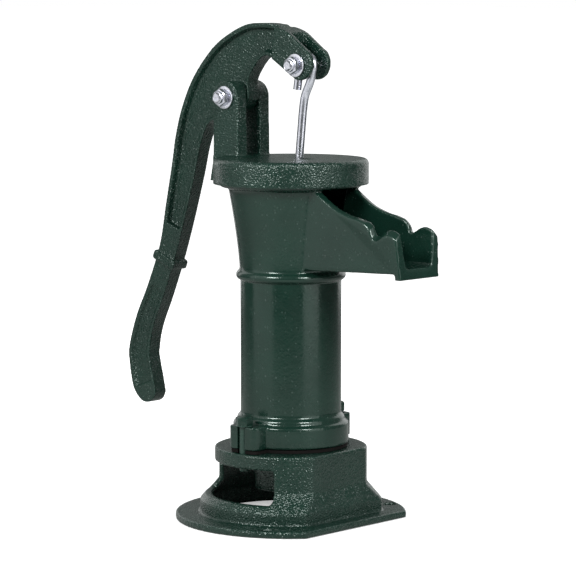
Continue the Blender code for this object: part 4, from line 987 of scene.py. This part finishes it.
rodSizes = {
    "radius": 3.55, "sides": 28, "hookRadius": 8.05, "tail": 20.5,
    "eyeRadius": 10.15, "eyeDrop": 194.5, "eyeLead": 2.6, "eyeGap": (28, 22),
    "joint": (-4.0, -40.0), "bend": [(4.5, -13.5), (-1.5, -26.0)],     # from the bolt in the lever
}


def rodTree():
    # a round bar along a curve
    tree, given = startTree("roundBar", [("Geometry", "NodeSocketGeometry", None),
                                         ("Radius", "NodeSocketFloat", 3.5), ("Sides", "NodeSocketInt", 24)])
    ring = tree.nodes.new("GeometryNodeCurvePrimitiveCircle")
    sweep = addNode(tree, "GeometryNodeCurveToMesh", Fill_Caps=True)
    connect(tree, (given["Sides"], ring.inputs["Resolution"]), (given["Radius"], ring.inputs["Radius"]),
            (given["Geometry"], sweep.inputs["Curve"]),
            (ring.outputs["Curve"], sweep.inputs["Profile Curve"]))
    return endTree(tree, given, sweep.outputs["Mesh"])


def makeRod(s):
    eye = Vector((-pinX - s["eyeLead"], -s["eyeDrop"]))
    hook = arcPoints((0, 0), s["hookRadius"], 175, -25, 30)
    joint = Vector(s["joint"])
    along = (eye - joint).normalized()
    neck = eye - along * (s["eyeRadius"] + 4.0)
    start = math.degrees(math.atan2(-along.y, -along.x))
    ring = arcPoints(eye, s["eyeRadius"], start + s["eyeGap"][0], start + 360 - s["eyeGap"][1], 48)
    straight = [tuple(joint.lerp(neck, i / 12)) for i in range(13)]
    bend = smoothLine([hook[-1], *s["bend"], s["joint"]], 10)
    tail = [(-s["hookRadius"] - 2.2, -s["tail"]), (-s["hookRadius"] - 0.6, -s["tail"] / 2)]
    route = tail + hook + bend[1:-1] + straight + ring
    curve = bpy.data.curves.new("rodLine", "CURVE")
    curve.dimensions = "3D"
    line = curve.splines.new("POLY")
    line.points.add(len(route) - 1)
    for point, (x, z) in zip(line.points, route):
        point.co = (x + pinX, 0, z + pinZ, 1)
    rod = addObject("rodLine", curve)
    modifier = rod.modifiers.new("bar", "NODES")
    modifier.node_group = rodTree()
    setInputs(modifier, {"Radius": s["radius"], "Sides": s["sides"], "Finish": zincPlate})
    rod = settle(rod)
    return finishPiece(rod, "pistonRod", "rod", ["piston_rod"], zincPlate, 50)


makeRod(rodSizes)

# CAD pieces that keep their shape

keptFinishes = {
    "valve_leather": oiledLeather, "valve_flap": oiledLeather, "cup_leather": oiledLeather,
    "plunger_cage": bareIron, "plunger_follower": bareIron, "flap_weight": bareIron,
    "flap_screw": turnedBrass, "flap_washer": turnedBrass, "plunger_poppet": turnedBrass,
    "plunger_pin": zincPlate, "plunger_cotter": zincPlate,
}
for node, finish in keptFinishes.items():
    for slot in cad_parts[node].material_slots:
        slot.material = finish
print("kept pieces dressed")

# Floor, lights and camera


floorSizes = {"half": 40.0, "level": -0.0005, "glowFrom": 0.12, "glowTo": 0.9, "dimFrom": 0.7, "dimTo": 1.3}


def makeFloor(s):
    # white to the camera further out, as a lit sweep is, with the pump's own soft shadow near it
    half, level = s["half"], s["level"]
    corners = [(x * half, y * half, level) for x, y in ((-1, -1), (1, -1), (1, 1), (-1, 1))]
    floor = meshObject("floor", corners, [(0, 1, 2, 3)])
    material, tree, shader, coords = startMaterial("paleFloor")
    shade = noiseNode(tree, coords, 3.0, 2.0, 0.5)
    seen = tree.nodes.new("ShaderNodeLightPath").outputs["Is Camera Ray"]
    pale = mixColour(tree, shade, (0.86, 0.86, 0.86), (0.89, 0.89, 0.89))
    length = addNode(tree, "ShaderNodeVectorMath", {"operation": "LENGTH"})
    tree.links.new(coords, length.inputs[0])
    far = length.outputs["Value"]
    # what the pump mirrors of it gets dim further out
    mirrored = mixColour(tree, rangeNode(tree, far, s["dimFrom"], s["dimTo"], 0.0, 1.0),
                         (0.50, 0.51, 0.50), (0.24, 0.25, 0.25))
    tree.links.new(mixColour(tree, seen, mirrored, pale), shader.inputs["Base Color"])
    glow = mathNode(tree, "MULTIPLY", rangeNode(tree, far, s["glowFrom"], s["glowTo"], 0.45, 1.0), seen)
    tree.links.new(mixColour(tree, glow, (0, 0, 0), (1, 1, 1)), shader.inputs["Emission Color"])
    shader.inputs["Emission Strength"].default_value = 1.0
    shader.inputs["Roughness"].default_value = 0.9
    shader.inputs["Specular IOR Level"].default_value = 0.1
    floor.data.materials.append(material)


cameraSizes = {
    "heading": 42.687, "distance": 2.3039, "height": 0.4509, "tilt": 6.3133, "offCentre": 0.0617,
    "lens": 171.218,
}


def softBox(name, azimuth, distance, height, width, tall, radiance, aim=0.16):
    # azimuth in degrees from the camera's heading, to the right; the rest in metres
    turn = math.radians(cameraSizes["heading"] + azimuth)
    place = Vector((axisX + distance * math.sin(turn), -distance * math.cos(turn), height))
    light = bpy.data.lights.new(name, "AREA")
    light.shape = "RECTANGLE"
    light.size = width
    light.size_y = tall
    light.energy = radiance * math.pi * width * tall
    obj = addObject(name, light)
    obj.location = place
    obj.rotation_euler = (Vector((axisX, 0, aim)) - place).to_track_quat("-Z", "Y").to_euler()
    obj.visible_camera = False
    return obj


def makeCamera(s):
    heading = math.radians(s["heading"])
    camera = bpy.data.cameras.new("camera")
    camera.lens = s["lens"]
    camera.sensor_width = 36.0
    camera.clip_end = 60.0
    obj = addObject("camera", camera)
    obj.location = (axisX + s["distance"] * math.sin(heading), -s["distance"] * math.cos(heading),
                    s["height"])
    obj.rotation_euler = (math.radians(90 - s["tilt"]), 0, math.radians(s["heading"] + s["offCentre"]))
    scene.camera = obj


def makeWorld():
    world = bpy.data.worlds.new("studio")
    scene.world = world
    world.use_nodes = True
    tree = world.node_tree
    tree.nodes.clear()
    out = tree.nodes.new("ShaderNodeOutputWorld")
    room = addNode(tree, "ShaderNodeBackground", Color=(0.95, 1.0, 0.98, 1.0), Strength=0.24)
    backdrop = addNode(tree, "ShaderNodeBackground", Color=(1, 1, 1, 1), Strength=1.0)
    mixer = tree.nodes.new("ShaderNodeMixShader")
    path = tree.nodes.new("ShaderNodeLightPath")
    tree.links.new(path.outputs["Is Camera Ray"], mixer.inputs[0])
    tree.links.new(room.outputs[0], mixer.inputs[1])
    tree.links.new(backdrop.outputs[0], mixer.inputs[2])
    tree.links.new(mixer.outputs[0], out.inputs["Surface"])


makeFloor(floorSizes)
makeCamera(cameraSizes)
makeWorld()
# broad dim boxes for the long streaks, two small bright ones for the sparkle, and two behind
softBox("leftBox", -67, 1.0, 0.42, 1.1, 1.3, 0.80)
softBox("rightBox", 47, 1.1, 0.42, 0.80, 1.3, 1.40)
softBox("highLeft", -42, 1.05, 0.84, 0.38, 0.30, 31.0)
softBox("highRight", 33, 1.05, 0.84, 0.36, 0.30, 29.0)
softBox("backLeft", -150, 1.5, 0.7, 1.0, 1.6, 0.9)
softBox("backRight", 150, 1.5, 0.7, 1.0, 1.6, 0.9)
scene.view_settings.view_transform = "Standard"
print("lights and camera set")
